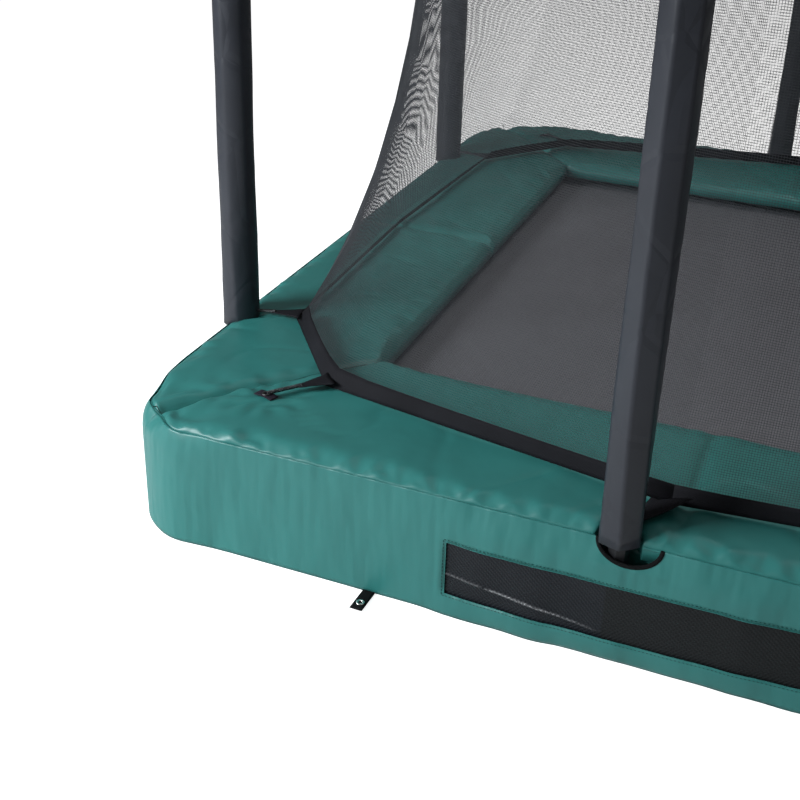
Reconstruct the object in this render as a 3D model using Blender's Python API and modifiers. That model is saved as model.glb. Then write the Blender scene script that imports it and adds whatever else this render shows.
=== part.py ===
"""Rectangular ground-level trampoline with a padded cover, a skirt and a safety net on poles.

Lengths are in metres and +Z is up. The origin lies on the ground under the middle of the
trampoline. X runs along the front and the back, Y runs from the front to the back.
"""

import math

import bmesh
import bpy
import numpy as np
from mathutils import Matrix, Vector

# Overall
LENGTH = 2.81
WIDTH = 2.01
SEAM_HEIGHT = 0.215
CORNER_RADIUS = 0.10
CLEARANCE = 0.0003
PANEL_GAP_SHARE = 0.6
CUT_PAST = 0.01
MERGE_DISTANCE = 0.00001
CORNER_STEPS = 2

# Cover pads
SIDE_PAD_WIDTH = 0.362
END_PAD_WIDTH = 0.334
PAD_THICKNESS = 0.028
PAD_CROWN = 0.0095
PAD_CREASE = 0.005
PAD_EDGE_DRAW = 0.0018
PAD_EDGE_HALF = 0.005
PAD_ROLL_SHARE = 0.006
PAD_CROWN_SHARES = ((0.08, 0.62), (0.45, 1.0), (0.92, 0.3))
PAD_INNER_SHARE = 0.985
PAD_INNER_RISE = 0.85
PAD_NOTCH_CLEARANCE = 0.004
SIDE_PAD_STEPS = 10
END_PAD_STEPS = 8

# Steel frame
FRAME_RADIUS = 0.021
FRAME_WALL = 0.0015
FRAME_INSET = 0.072
FRAME_BEND = 0.20
CORNER_STUB = 0.04
SPIGOT_LENGTH = 0.05
SWAGE_LENGTH = 0.004
FRAME_SIDES = 10
FRAME_BEND_STEPS = 4

# U-shaped legs
LEG_RADIUS = 0.019
LEG_WALL = 0.0015
LEG_BEND = 0.05
LEG_FLAT = 0.0006
LEG_SIDES = 8
LEG_BEND_STEPS = 3
CUTTER_SIDES = 12

# Poles and their sleeves
POLE_RADIUS = 0.017
POLE_WALL = 0.0015
POLE_INSET = 0.012
SIDE_POLE_FROM_CORNER = 0.855
END_POLE_FROM_CORNER = 0.424
POLE_FOOT_HEIGHT = 0.030
POLE_SIDES = 8
SPACER_WIDTH = 0.016
SPACER_HEIGHT = 0.026
SPACER_LOW_LEVEL = 0.065
SPACER_HIGH_LEVEL = 0.125
CAP_RADIUS = 0.026
CAP_SKIRT = 0.012
CAP_TOP = 0.020
HOOK_WIDTH = 0.012
HOOK_HEIGHT = 0.010
HOOK_OVERHANG = 0.008
SLEEVE_RADIUS = 0.031

# Jumping mat and its springs
MAT_INSET = 0.287
MAT_THICKNESS = 0.003
RING_STRIP_WIDTH = 0.025
RING_STRIP_THICKNESS = 0.004
SPRING_RADIUS = 0.007
SPRING_PITCH = 0.14
SPRING_SIDES = 6

# Skirt, its windows and its peg tabs
SKIRT_THICKNESS = 0.0012
SKIRT_HEM_HEIGHT = 0.004
SKIRT_FOLD = 0.006
SKIRT_FOLDS_PER_METRE = 0.9
SKIRT_POLE_BULGE = 0.009
SKIRT_POLE_BULGE_REACH = 0.07
SKIRT_BULGE_SHARES = (-1, -0.4, 0.4, 1)
SIDE_SKIRT_STEPS = 10
END_SKIRT_STEPS = 6
NOTCH_WIDTH = 0.093
NOTCH_DEPTH = 0.040
NOTCH_SHIFT = 0.0175
NOTCH_STEPS = 5
WINDOW_FROM_CORNER = 0.60
WINDOW_LOW = 0.044
WINDOW_HIGH = 0.140
WINDOW_MARGIN = 0.012
VENT_THICKNESS = 0.0008
SIDE_PEG_TAB_FROM_CORNER = 0.472
END_PEG_TAB_FROM_CORNER = 0.72
PEG_TAB_WIDTH = 0.021
PEG_TAB_REACH = 0.055
PEG_TAB_THICKNESS = 0.002
PEG_TAB_LIFT = 0.0008
PEG_TAB_SEWN_HEIGHT = 0.030
PEG_EYELET_RADIUS = 0.0085
PEG_EYELET_HOLE = 0.0045
PEG_EYELET_REACH = 0.034
PEG_EYELET_RISE = 0.0008

# Corner eyelet tabs on the pads
PAD_TAB_FROM_END = 0.214
PAD_TAB_FROM_SIDE = 0.146
PAD_TAB_LENGTH = 0.046
PAD_TAB_WIDTH = 0.020
PAD_TAB_RISE = 0.0132
PAD_TAB_TURN = math.radians(-16)

# Safety net
NET_HEIGHT = 1.75
NET_THICKNESS = 0.0016
NET_BAR = 0.012
NET_CROSS_TENSION = 0.6
HEM_LIFT = 0.014
HEM_HEIGHT = 0.05
HEM_THICKNESS = 0.004
NET_TOP_INSET = 0.067
HEM_END_PULL_FROM_END = 0.124
HEM_END_PULL_FROM_SIDE = 0.440
HEM_CORNER_PULL_FROM_END = 0.292
HEM_CORNER_PULL_FROM_SIDE = 0.218
HEM_SIDE_PULL_FROM_END = 0.910
HEM_SIDE_PULL_FROM_SIDE = 0.101
HEM_SIDE_MIDDLE_INSET = 0.140
HEM_END_MIDDLE_INSET = 0.104
HEM_STRAIGHT_HALF = 0.09
HEM_CORD_RADIUS = 0.003
HEM_CORD_SPREAD = 0.006
HEM_CORD_LIFT = 0.0165
HEM_LOOP_STEPS = 4
NET_ROW_SHARES = (0.18, 0.39, 0.61, 0.82)
NET_RELAX_STEPS = 400

# Zip in the front wall, its slider and the buckle below it
ZIP_WIDTH = 0.030
ZIP_THICKNESS = 0.004
ZIP_START = 0.075
ZIP_TRAVEL = 1.25
ZIP_STOP_SIZE = 0.008
SLIDER_WIDTH = 0.014
SLIDER_LENGTH = 0.022
SLIDER_THICKNESS = 0.006
SLIDER_EAR_WIDTH = 0.002
SLIDER_EAR_SIZE = 0.006
PULLER_LENGTH = 0.036
PULLER_WIDTH = 0.0065
PULLER_THICKNESS = 0.0016
PULLER_PIN_RADIUS = 0.0019
BUCKLE_HEIGHT = 0.026
BUCKLE_THICKNESS = 0.010
BUCKLE_WALL = 0.002
BUCKLE_SOCKET_LENGTH = 0.030
BUCKLE_MOUTH = 0.004
BUCKLE_PLUG_LENGTH = 0.018
BUCKLE_PRONG_LENGTH = 0.020
BUCKLE_STRAP_LENGTH = 0.014
BUCKLE_STRAP_THICKNESS = 0.002
BUCKLE_LIFT = 0.014
BUCKLE_STANDOFF = 0.002
BUCKLE_STRAP_CLEARANCE = 0.0008

# Levels that follow from the sizes above
PAD_BOTTOM = SEAM_HEIGHT - PAD_THICKNESS
FRAME_LEVEL = PAD_BOTTOM - CLEARANCE - FRAME_RADIUS
LEG_BASE_LEVEL = LEG_RADIUS * math.cos(math.pi / LEG_SIDES) - LEG_FLAT
HEM_LEVEL = SEAM_HEIGHT + HEM_LIFT
NET_TOP = HEM_LEVEL + NET_HEIGHT
CORD_LEVEL = SEAM_HEIGHT + HEM_CORD_LIFT
HEM_END_PULL = (HEM_END_PULL_FROM_END, HEM_END_PULL_FROM_SIDE)
HEM_CORNER_PULL = (HEM_CORNER_PULL_FROM_END, HEM_CORNER_PULL_FROM_SIDE)
HEM_SIDE_PULL = (HEM_SIDE_PULL_FROM_END, HEM_SIDE_PULL_FROM_SIDE)
SKIRT_LEVELS = (SEAM_HEIGHT, SEAM_HEIGHT * 0.83, SEAM_HEIGHT * 0.45, SKIRT_HEM_HEIGHT)

# Each side: half its length, half the size across, its way along and its way out
SIDES = {
    "front": (LENGTH / 2, WIDTH / 2, Vector((1, 0, 0)), Vector((0, -1, 0))),
    "right": (WIDTH / 2, LENGTH / 2, Vector((0, 1, 0)), Vector((1, 0, 0))),
    "back": (LENGTH / 2, WIDTH / 2, Vector((-1, 0, 0)), Vector((0, 1, 0))),
    "left": (WIDTH / 2, LENGTH / 2, Vector((0, -1, 0)), Vector((-1, 0, 0))),
}
CORNERS = {
    "front_left": (-1, -1),
    "front_right": (1, -1),
    "back_right": (1, 1),
    "back_left": (-1, 1),
}
UP = Vector((0, 0, 1))


def is_long(side):
    return side in ("front", "back")


def pole_along(side):
    """Distance of a side's two poles from its middle."""
    half = SIDES[side][0]
    return half - (SIDE_POLE_FROM_CORNER if is_long(side) else END_POLE_FROM_CORNER)


def pad_width(side):
    return SIDE_PAD_WIDTH if is_long(side) else END_PAD_WIDTH


def place(side, along, inset, height):
    """A point by its distance along a side, in from the skirt, and above the ground."""
    _, half_across, tangent, outward = SIDES[side]
    return tangent * along + outward * (half_across - inset) + UP * height


def corner_place(corner, from_end, from_side, height):
    """A point by its distances in from a corner's end skirt and side skirt."""
    sign_x, sign_y = CORNERS[corner]
    return Vector((sign_x * (LENGTH / 2 - from_end), sign_y * (WIDTH / 2 - from_side), height))


# Scene, collections and materials

def clear_scene():
    for item in list(bpy.data.objects):
        bpy.data.objects.remove(item, do_unlink=True)


def new_collection(name):
    collection = bpy.data.collections.new(name)
    bpy.context.scene.collection.children.link(collection)
    return collection


clear_scene()
PARTS = new_collection("trampoline")
TOOLS = new_collection("trampoline_tools")


def make_material(name, colour, roughness, metallic=0.0):
    material = bpy.data.materials.new(name)
    material.use_nodes = True
    shader = material.node_tree.nodes["Principled BSDF"]
    shader.inputs["Base Color"].default_value = (*colour, 1.0)
    shader.inputs["Roughness"].default_value = roughness
    shader.inputs["Metallic"].default_value = metallic
    return material


GALVANISED = make_material("galvanised_steel", (0.55, 0.56, 0.57), 0.38, 1.0)
POLE_STEEL = make_material("black_coated_steel", (0.03, 0.032, 0.036), 0.45, 0.6)
SPRING_STEEL = make_material("spring_steel", (0.62, 0.62, 0.6), 0.3, 1.0)
GREEN_PVC = make_material("green_pvc", (0.02, 0.21, 0.16), 0.42)
BLACK_MESH = make_material("black_vent_mesh", (0.012, 0.013, 0.014), 0.6)
SLEEVE_PVC = make_material("dark_sleeve_pvc", (0.03, 0.033, 0.045), 0.45)
NET_MESH = make_material("black_net", (0.015, 0.016, 0.02), 0.75)
MAT_FABRIC = make_material("mat_fabric", (0.045, 0.043, 0.05), 0.7)
ZIP_TAPE = make_material("zip_tape", (0.01, 0.01, 0.012), 0.7)
ZIP_METAL = make_material("zip_metal", (0.08, 0.08, 0.085), 0.35, 0.9)
BUCKLE_PLASTIC = make_material("buckle_plastic", (0.012, 0.012, 0.013), 0.4)


# Shapes

def add_part(name, mesh, material, smooth=False):
    """Links a mesh as one of the trampoline's pieces."""
    part = bpy.data.objects.new(name, mesh)
    PARTS.objects.link(part)
    mesh.materials.clear()
    mesh.materials.append(material)
    if smooth:
        mesh.shade_smooth()
        mesh.set_sharp_from_angle(angle=math.radians(40))
    return part


def set_origin(part, point):
    """Moves a piece's origin onto the axis that it moves along or about."""
    part.data.transform(Matrix.Translation(-point))
    part.location = point


def add_tool(name, mesh):
    """Links a mesh that only cuts or joins a piece."""
    tool = bpy.data.objects.new(name, mesh)
    TOOLS.objects.link(tool)
    tool.hide_render = True
    tool.display_type = "WIRE"
    return tool


def combine(part, tool, operation):
    """Cuts a piece with a tool, or joins the tool to it."""
    modifier = part.modifiers.new(f"{operation.lower()}_{tool.name}", "BOOLEAN")
    modifier.operation = operation
    modifier.solver = "EXACT"
    modifier.object = tool


def mesh_of(name, bm):
    bmesh.ops.recalc_face_normals(bm, faces=bm.faces)
    mesh = bpy.data.meshes.new(name)
    bm.to_mesh(mesh)
    bm.free()
    return mesh


def add_box(bm, low, high, matrix=None):
    """Adds a box between two corners to a mesh under construction."""
    size = Vector(high) - Vector(low)
    middle = (Vector(high) + Vector(low)) / 2
    local = Matrix.Translation(middle) @ Matrix.Diagonal((*size, 1.0))
    bmesh.ops.create_cube(bm, size=1.0, matrix=(matrix or Matrix()) @ local)


def box_mesh(name, low, high, matrix=None):
    bm = bmesh.new()
    add_box(bm, low, high, matrix)
    return mesh_of(name, bm)


def add_cylinder(bm, start, end, radius, sides):
    """Adds a closed cylinder between two points."""
    start, end = Vector(start), Vector(end)
    axis = end - start
    turn = axis.to_track_quat("Z", "Y").to_matrix().to_4x4()
    bmesh.ops.create_cone(
        bm,
        cap_ends=True,
        segments=sides,
        radius1=radius,
        radius2=radius,
        depth=axis.length,
        matrix=Matrix.Translation((start + end) / 2) @ turn,
    )


def cylinder_mesh(name, start, end, radius, sides):
    bm = bmesh.new()
    add_cylinder(bm, start, end, radius, sides)
    return mesh_of(name, bm)


def tube_mesh(name, points, radius, sides, scales=None, caps=True, twist="MINIMUM", tilt=0.0):
    """Sweeps a round section along points; scales shrink it point by point."""
    curve = bpy.data.curves.new(name, "CURVE")
    curve.dimensions = "3D"
    curve.twist_mode = twist
    curve.bevel_depth = radius
    curve.bevel_resolution = (sides - 4) // 2
    curve.use_fill_caps = caps
    spline = curve.splines.new("POLY")
    spline.points.add(len(points) - 1)
    for index, point in enumerate(points):
        spline.points[index].co = (*point, 1.0)
        spline.points[index].tilt = tilt
        spline.points[index].radius = scales[index] if scales else 1.0
    holder = bpy.data.objects.new(name, curve)
    TOOLS.objects.link(holder)
    bpy.context.view_layer.update()
    evaluated = holder.evaluated_get(bpy.context.evaluated_depsgraph_get())
    mesh = bpy.data.meshes.new_from_object(evaluated)
    bpy.data.objects.remove(holder)
    bm = bmesh.new()
    bm.from_mesh(mesh)
    bmesh.ops.remove_doubles(bm, verts=bm.verts, dist=MERGE_DISTANCE)
    bmesh.ops.recalc_face_normals(bm, faces=bm.faces)
    bm.to_mesh(mesh)
    bm.free()
    return mesh


def hollow(part, wall):
    """Gives an open tube its wall, on the inside."""
    modifier = part.modifiers.new("wall", "SOLIDIFY")
    modifier.thickness = wall
    modifier.offset = -1.0
    modifier.use_even_offset = False


def add_prism(bm, ends):
    """Adds a closed prism between two outlines with the same number of points."""
    first, second = [[bm.verts.new(point) for point in outline] for outline in ends]
    bm.faces.new(first)
    bm.faces.new(second)
    for i in range(len(first)):
        k = (i + 1) % len(first)
        bm.faces.new((first[i], first[k], second[k], second[i]))


def opening_corners(cell, bar):
    """Corners of the opening that leaves a bar along each edge of a four-cornered cell."""
    a, b, c, d = [vertex.co for vertex in cell]
    up = 2 * bar / ((b - a).length + (c - d).length)
    across = 2 * bar / ((d - a).length + (c - b).length)
    shares = ((up, across), (1 - up, across), (1 - up, 1 - across), (up, 1 - across))
    return [a.lerp(b, u).lerp(d.lerp(c, u), v) for u, v in shares]


def add_opening(bm, cells, bar):
    """Frames an opening in the same cell of both faces of a sheet, and adds its walls."""
    rims = []
    for cell in cells:
        rims.append([bm.verts.new(point) for point in opening_corners(cell, bar)])
        for i in range(4):
            k = (i + 1) % 4
            bm.faces.new((cell[i], cell[k], rims[-1][k], rims[-1][i]))
    for i in range(4):
        k = (i + 1) % 4
        bm.faces.new((rims[0][i], rims[0][k], rims[1][k], rims[1][i]))


def add_slab(bm, front, back, open_rows=(), bar=0.0):
    """Adds a closed sheet between two grids of points; the cells of open rows get an opening."""
    rows, columns = len(front), len(front[0])
    face_of = []
    for grid in (front, back):
        face_of.append([[bm.verts.new(point) for point in row] for row in grid])
    for i in range(rows - 1):
        for j in range(columns - 1):
            cells = [(g[i][j], g[i + 1][j], g[i + 1][j + 1], g[i][j + 1]) for g in face_of]
            if i in open_rows:
                add_opening(bm, cells, bar)
            else:
                for cell in cells:
                    bm.faces.new(cell)
    outer, inner = face_of
    rim = [(0, j) for j in range(columns - 1)]
    rim += [(i, columns - 1) for i in range(rows - 1)]
    rim += [(rows - 1, j) for j in range(columns - 1, 0, -1)]
    rim += [(i, 0) for i in range(rows - 1, 0, -1)]
    for (i, j), (k, m) in zip(rim, rim[1:] + rim[:1]):
        bm.faces.new((outer[i][j], outer[k][m], inner[k][m], inner[i][j]))


def slab_mesh(name, front, back, open_rows=(), bar=0.0):
    bm = bmesh.new()
    add_slab(bm, front, back, open_rows, bar)
    bmesh.ops.triangulate(bm, faces=bm.faces)
    return mesh_of(name, bm)


# Frame

def rail_end(side):
    """Half the length of a straight rail, up to the corner tubes' shoulders."""
    return SIDES[side][0] - FRAME_INSET - FRAME_BEND - CORNER_STUB


def make_rail(side):
    end = rail_end(side) - CLEARANCE / 2
    points = [place(side, along, FRAME_INSET, FRAME_LEVEL) for along in (-end, end)]
    mesh = tube_mesh(f"rail_{side}", points, FRAME_RADIUS, FRAME_SIDES, caps=False, twist="Z_UP")
    hollow(add_part(f"frame_rail_{side}", mesh, GALVANISED, smooth=True), FRAME_WALL)


def make_frame_corner(corner):
    """A bent tube whose drawn-down ends slide into the rails."""
    spigot_scale = ((FRAME_RADIUS - FRAME_WALL) * math.cos(math.pi / FRAME_SIDES) - CLEARANCE) / FRAME_RADIUS
    stub_end = FRAME_INSET + FRAME_BEND + CORNER_STUB
    lengths = [stub_end + SPIGOT_LENGTH, stub_end - CLEARANCE / 2, stub_end - SWAGE_LENGTH]
    scales = [spigot_scale, spigot_scale, 1.0]
    plan = [(length, FRAME_INSET) for length in lengths]
    centre = FRAME_INSET + FRAME_BEND
    for step in range(FRAME_BEND_STEPS + 1):
        angle = math.pi / 2 * step / FRAME_BEND_STEPS
        plan.append((centre - FRAME_BEND * math.sin(angle), centre - FRAME_BEND * math.cos(angle)))
        scales.append(1.0)
    plan += [(FRAME_INSET, length) for length in reversed(lengths)]
    scales += [1.0, spigot_scale, spigot_scale]
    points = [corner_place(corner, x, y, FRAME_LEVEL) for x, y in plan]
    mesh = tube_mesh(f"corner_{corner}", points, FRAME_RADIUS, FRAME_SIDES, scales, False, "Z_UP")
    hollow(add_part(f"frame_corner_{corner}", mesh, GALVANISED, smooth=True), FRAME_WALL)


def make_leg(side):
    """A U-shaped leg: a tube on the ground between two posts under the rail."""
    post = pole_along(side)
    top = FRAME_LEVEL - FRAME_RADIUS / 2
    path = [(-post, top), (-post, LEG_BASE_LEVEL + LEG_BEND)]
    for step in range(1, LEG_BEND_STEPS + 1):
        angle = math.pi / 2 * step / LEG_BEND_STEPS
        along = -post + LEG_BEND * (1 - math.cos(angle))
        path.append((along, LEG_BASE_LEVEL + LEG_BEND * (1 - math.sin(angle))))
    path += [(-along, level) for along, level in reversed(path)]
    points = [place(side, along, FRAME_INSET, level) for along, level in path]
    mesh = tube_mesh(f"leg_{side}", points, LEG_RADIUS, LEG_SIDES, caps=False, tilt=math.pi / LEG_SIDES)
    leg = add_part(f"leg_{side}", mesh, GALVANISED, smooth=True)
    hollow(leg, LEG_WALL)
    reach = post + 2 * LEG_RADIUS
    seat = [place(side, along, FRAME_INSET, FRAME_LEVEL) for along in (-reach, reach)]
    seat_radius = (FRAME_RADIUS + CLEARANCE) / math.cos(math.pi / CUTTER_SIDES)
    seat_mesh = cylinder_mesh("leg_seat", *seat, seat_radius, CUTTER_SIDES)
    combine(leg, add_tool(f"leg_seat_{side}", seat_mesh), "DIFFERENCE")
    centre = place(side, 0, FRAME_INSET, 0)
    low = centre - Vector((LENGTH, LENGTH, LEG_RADIUS))
    high = centre + Vector((LENGTH, LENGTH, 0))
    combine(leg, add_tool(f"leg_ground_{side}", box_mesh("leg_ground", low, high)), "DIFFERENCE")


# Poles

def pole_matrix(side, along):
    """Local axes at a pole: X along the side, Y inwards, Z up."""
    _, _, tangent, outward = SIDES[side]
    matrix = Matrix.Identity(4)
    matrix.col[0] = (*-tangent, 0)
    matrix.col[1] = (*-outward, 0)
    matrix.col[2] = (*UP, 0)
    matrix.col[3] = (*place(side, along, POLE_INSET, 0), 1)
    return matrix


def make_pole(name, side, along):
    """A tube clamped outside a leg's post, with a cap and a hook for the net's top edge."""
    foot = place(side, along, POLE_INSET, POLE_FOOT_HEIGHT)
    top = place(side, along, POLE_INSET, NET_TOP)
    mesh = tube_mesh(name, [foot, top], POLE_RADIUS, POLE_SIDES, caps=False)
    pole = add_part(name, mesh, POLE_STEEL, smooth=True)
    hollow(pole, POLE_WALL)
    matrix = pole_matrix(side, along)
    post_distance = FRAME_INSET - POLE_INSET
    bm = bmesh.new()
    for level in (SPACER_LOW_LEVEL, SPACER_HIGH_LEVEL):
        low = (-SPACER_WIDTH / 2, POLE_RADIUS - 2 * POLE_WALL, level - SPACER_HEIGHT / 2)
        high = (SPACER_WIDTH / 2, post_distance, level + SPACER_HEIGHT / 2)
        add_box(bm, low, high, matrix)
    combine(pole, add_tool(f"spacers_{name}", mesh_of("spacers", bm)), "UNION")
    post_radius = (LEG_RADIUS + CLEARANCE) / math.cos(math.pi / CUTTER_SIDES)
    ends = [matrix @ Vector((0, post_distance, level)) for level in (0, FRAME_LEVEL)]
    post = add_tool(f"post_{name}", cylinder_mesh("post", *ends, post_radius, CUTTER_SIDES))
    combine(pole, post, "DIFFERENCE")
    ends = [matrix @ Vector((0, 0, level)) for level in (NET_TOP - CAP_SKIRT, NET_TOP + CAP_TOP)]
    cap = add_tool(f"cap_{name}", cylinder_mesh("cap", *ends, CAP_RADIUS, POLE_SIDES))
    combine(pole, cap, "UNION")
    hook_low = (-HOOK_WIDTH / 2, CAP_RADIUS / 2, NET_TOP + CLEARANCE)
    hook_reach = NET_TOP_INSET - POLE_INSET + HOOK_OVERHANG
    hook_high = (HOOK_WIDTH / 2, hook_reach, NET_TOP + CLEARANCE + HOOK_HEIGHT)
    hook = add_tool(f"hook_{name}", box_mesh("hook", hook_low, hook_high, matrix))
    combine(pole, hook, "UNION")


def make_sleeve(name, side, along):
    """A padded sleeve from just above the net's cord to the pole's cap."""
    bottom = CORD_LEVEL + HEM_CORD_RADIUS + 2 * CLEARANCE
    top = NET_TOP - CAP_SKIRT - CLEARANCE
    bore = (POLE_RADIUS + CLEARANCE) / math.cos(math.pi / POLE_SIDES)
    points = [place(side, along, POLE_INSET, level) for level in (bottom, top)]
    mesh = tube_mesh(name, points, SLEEVE_RADIUS, POLE_SIDES, caps=False)
    hollow(add_part(name, mesh, SLEEVE_PVC, smooth=True), SLEEVE_RADIUS - bore)


def pole_names(side):
    """The two poles of a side by name, with their place along it."""
    ends = {"front": ("left", "right"), "back": ("right", "left"),
            "left": ("back", "front"), "right": ("front", "back")}[side]
    reach = pole_along(side)
    return [(f"{side}_{ends[0]}", -reach), (f"{side}_{ends[1]}", reach)]


# Mat and springs

def spring_places(side):
    """Evenly spaced places along a side's straight stretch, all of them on its ring strip."""
    half = SIDES[side][0] - max(FRAME_INSET + FRAME_BEND, MAT_INSET + SPRING_RADIUS)
    gaps = int(2 * half / SPRING_PITCH)
    return [gaps * SPRING_PITCH * (index / gaps - 0.5) for index in range(gaps + 1)]


def add_spring(bm, start, end):
    """A closed-wound spring as a round bar of the same weight."""
    add_cylinder(bm, start, end, SPRING_RADIUS, SPRING_SIDES)


def make_spring_row(side):
    """A side's springs with the webbing strip and rings that hold them to the mat."""
    half_along = SIDES[side][0]
    outer = MAT_INSET - RING_STRIP_WIDTH
    strip_end = half_along - (outer if is_long(side) else MAT_INSET)
    inner = MAT_INSET - CLEARANCE
    level = FRAME_LEVEL
    half = RING_STRIP_THICKNESS / 2
    ends = (-strip_end, strip_end)
    front = [[place(side, a, inset, level + half) for a in ends] for inset in (outer, inner)]
    back = [[point - UP * 2 * half for point in row] for row in front]
    row = add_part(f"springs_{side}", slab_mesh("ring_strip", front, back), SPRING_STEEL)
    bm = bmesh.new()
    start_inset = FRAME_INSET + FRAME_RADIUS + CLEARANCE
    for along in spring_places(side):
        start = place(side, along, start_inset, level)
        add_spring(bm, start, place(side, along, outer + RING_STRIP_WIDTH / 4, level))
    if is_long(side):
        for sign in (-1, 1):
            add_corner_spring(bm, side, sign)
    combine(row, add_tool(f"spring_bars_{side}", mesh_of("spring_bars", bm)), "UNION")


def add_corner_spring(bm, side, sign):
    """The diagonal spring from a bent corner tube to the end of a long side's strip."""
    diagonal = math.sqrt(0.5)
    centre = FRAME_INSET + FRAME_BEND
    facet_slope = math.tan(math.pi / 4 / FRAME_BEND_STEPS)
    start_radius = FRAME_BEND - FRAME_RADIUS - CLEARANCE - SPRING_RADIUS * facet_slope
    start = centre - start_radius * diagonal
    end = MAT_INSET - RING_STRIP_WIDTH * 0.75
    half_along = SIDES[side][0]
    first = place(side, sign * (half_along - start), start, FRAME_LEVEL)
    add_spring(bm, first, place(side, sign * (half_along - end), end, FRAME_LEVEL))


def make_mat():
    half_x = LENGTH / 2 - MAT_INSET
    half_y = WIDTH / 2 - MAT_INSET
    low = (-half_x, -half_y, FRAME_LEVEL - MAT_THICKNESS / 2)
    high = (half_x, half_y, FRAME_LEVEL + MAT_THICKNESS / 2)
    mat = add_part("jump_mat", box_mesh("jump_mat", low, high), MAT_FABRIC)
    set_origin(mat, Vector((0, 0, FRAME_LEVEL)))


# Cover pads

def edge_stations(side, straight_steps):
    """Places along a side from mid-corner to mid-corner: arc centre and turn."""
    reach = SIDES[side][0] - CORNER_RADIUS
    turn = math.pi / 4 - PANEL_GAP_SHARE * CLEARANCE / (CORNER_RADIUS - PAD_EDGE_DRAW)
    stations = [(-reach, -turn * (1 - step / CORNER_STEPS)) for step in range(CORNER_STEPS)]
    stations += [(reach * (2 * step / straight_steps - 1), 0.0) for step in range(straight_steps + 1)]
    stations += [(reach, turn * (step + 1) / CORNER_STEPS) for step in range(CORNER_STEPS)]
    return stations


def edge_plan(station, depth):
    """Along and inset of a point at a depth behind the skirt's face."""
    centre, turn = station
    radius = CORNER_RADIUS - depth
    return centre + radius * math.sin(turn), CORNER_RADIUS - radius * math.cos(turn)


def pad_profile():
    """Share across the pad, rise of the top and rise of the underside at each place."""
    mid = PAD_THICKNESS / 2
    seam = mid - PAD_EDGE_HALF
    rim = mid + PAD_EDGE_HALF / 2
    profile = [(0.0, rim, seam), (PAD_ROLL_SHARE, PAD_THICKNESS, 0.0)]
    profile += [(share, PAD_THICKNESS + crown * PAD_CROWN, 0.0) for share, crown in PAD_CROWN_SHARES]
    return profile + [(PAD_INNER_SHARE, PAD_THICKNESS * PAD_INNER_RISE, 0.0), (1.0, rim, seam)]


def make_pad(side):
    """A foam pad with a crown, drawn-in edges, a crease at its middle and mitred ends."""
    half_along = SIDES[side][0]
    width = pad_width(side)
    other = END_PAD_WIDTH if is_long(side) else SIDE_PAD_WIDTH
    stations = edge_stations(side, SIDE_PAD_STEPS if is_long(side) else END_PAD_STEPS)
    end_along, _ = edge_plan(stations[-1], PAD_EDGE_DRAW)
    inner_end = half_along - other - CLEARANCE
    top, under = [], []
    for station in stations:
        along, inset = edge_plan(station, PAD_EDGE_DRAW)
        inner_along = along * inner_end / end_along
        crease = PAD_CREASE if abs(station[0]) < 1e-6 else 0.0
        upper, lower = [], []
        for share, rise, low in pad_profile():
            a = along + (inner_along - along) * share
            b = inset + (width - inset) * share
            upper.append(place(side, a, b, PAD_BOTTOM + rise - (crease if rise > PAD_THICKNESS else 0.0)))
            lower.append(place(side, a, b, PAD_BOTTOM + low))
        top.append(upper)
        under.append(lower)
    pad = add_part(f"pad_{side}", slab_mesh(f"pad_{side}", top, under), GREEN_PVC, smooth=True)
    notch_radius = POLE_RADIUS + PAD_NOTCH_CLEARANCE
    bm = bmesh.new()
    for _, along in pole_names(side):
        ends = [place(side, along, POLE_INSET, level)
                for level in (PAD_BOTTOM - CUT_PAST, SEAM_HEIGHT + PAD_CROWN + CUT_PAST)]
        add_cylinder(bm, *ends, notch_radius, CUTTER_SIDES)
    combine(pad, add_tool(f"pad_notches_{side}", mesh_of("pad_notches", bm)), "DIFFERENCE")
    if is_long(side):
        join_pad_tabs(pad, side)


def join_pad_tabs(pad, side):
    """Sewn eyelet tabs near both ends of a long pad, where the net's corner cords hook in."""
    bm = bmesh.new()
    for corner, (sign_x, sign_y) in CORNERS.items():
        if (sign_y < 0) != (side == "front"):
            continue
        centre = corner_place(corner, PAD_TAB_FROM_END, PAD_TAB_FROM_SIDE, 0)
        matrix = Matrix.Translation(centre) @ Matrix.Rotation(PAD_TAB_TURN * sign_x * sign_y, 4, "Z")
        low = (-PAD_TAB_LENGTH / 2, -PAD_TAB_WIDTH / 2, SEAM_HEIGHT)
        high = (PAD_TAB_LENGTH / 2, PAD_TAB_WIDTH / 2, SEAM_HEIGHT + PAD_TAB_RISE)
        add_box(bm, low, high, matrix)
    combine(pad, add_tool(f"pad_tabs_{side}", mesh_of("pad_tabs", bm)), "UNION")


# Skirt

def window_reach(side):
    """Half the length of the window in a side's skirt."""
    return SIDES[side][0] - WINDOW_FROM_CORNER


def vent_reach(side):
    """Half the length of the mesh sheet sewn behind the window."""
    return window_reach(side) + WINDOW_MARGIN


def skirt_flare(side, station, height):
    """How far the hanging cloth stands out below the seam: its folds, and room for the poles."""
    centre, turn = station
    half = SIDES[side][0]
    along = centre + CORNER_RADIUS * turn
    hanging = min(1.0, (SEAM_HEIGHT - height) / (SEAM_HEIGHT - SKIRT_LEVELS[1]))
    straight = max(0.0, 1 - (abs(along) / (half - CORNER_RADIUS)) ** 8)
    wave = math.sin(2 * math.pi * SKIRT_FOLDS_PER_METRE * along) ** 2
    near = max(0.0, 1 - (abs(abs(along) - pole_along(side)) / SKIRT_POLE_BULGE_REACH) ** 2)
    return hanging * max(SKIRT_FOLD * straight * wave, SKIRT_POLE_BULGE * near)


def skirt_point(side, station, height, depth):
    along, inset = edge_plan(station, depth)
    return place(side, along, inset - skirt_flare(side, station, height), height)


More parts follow.
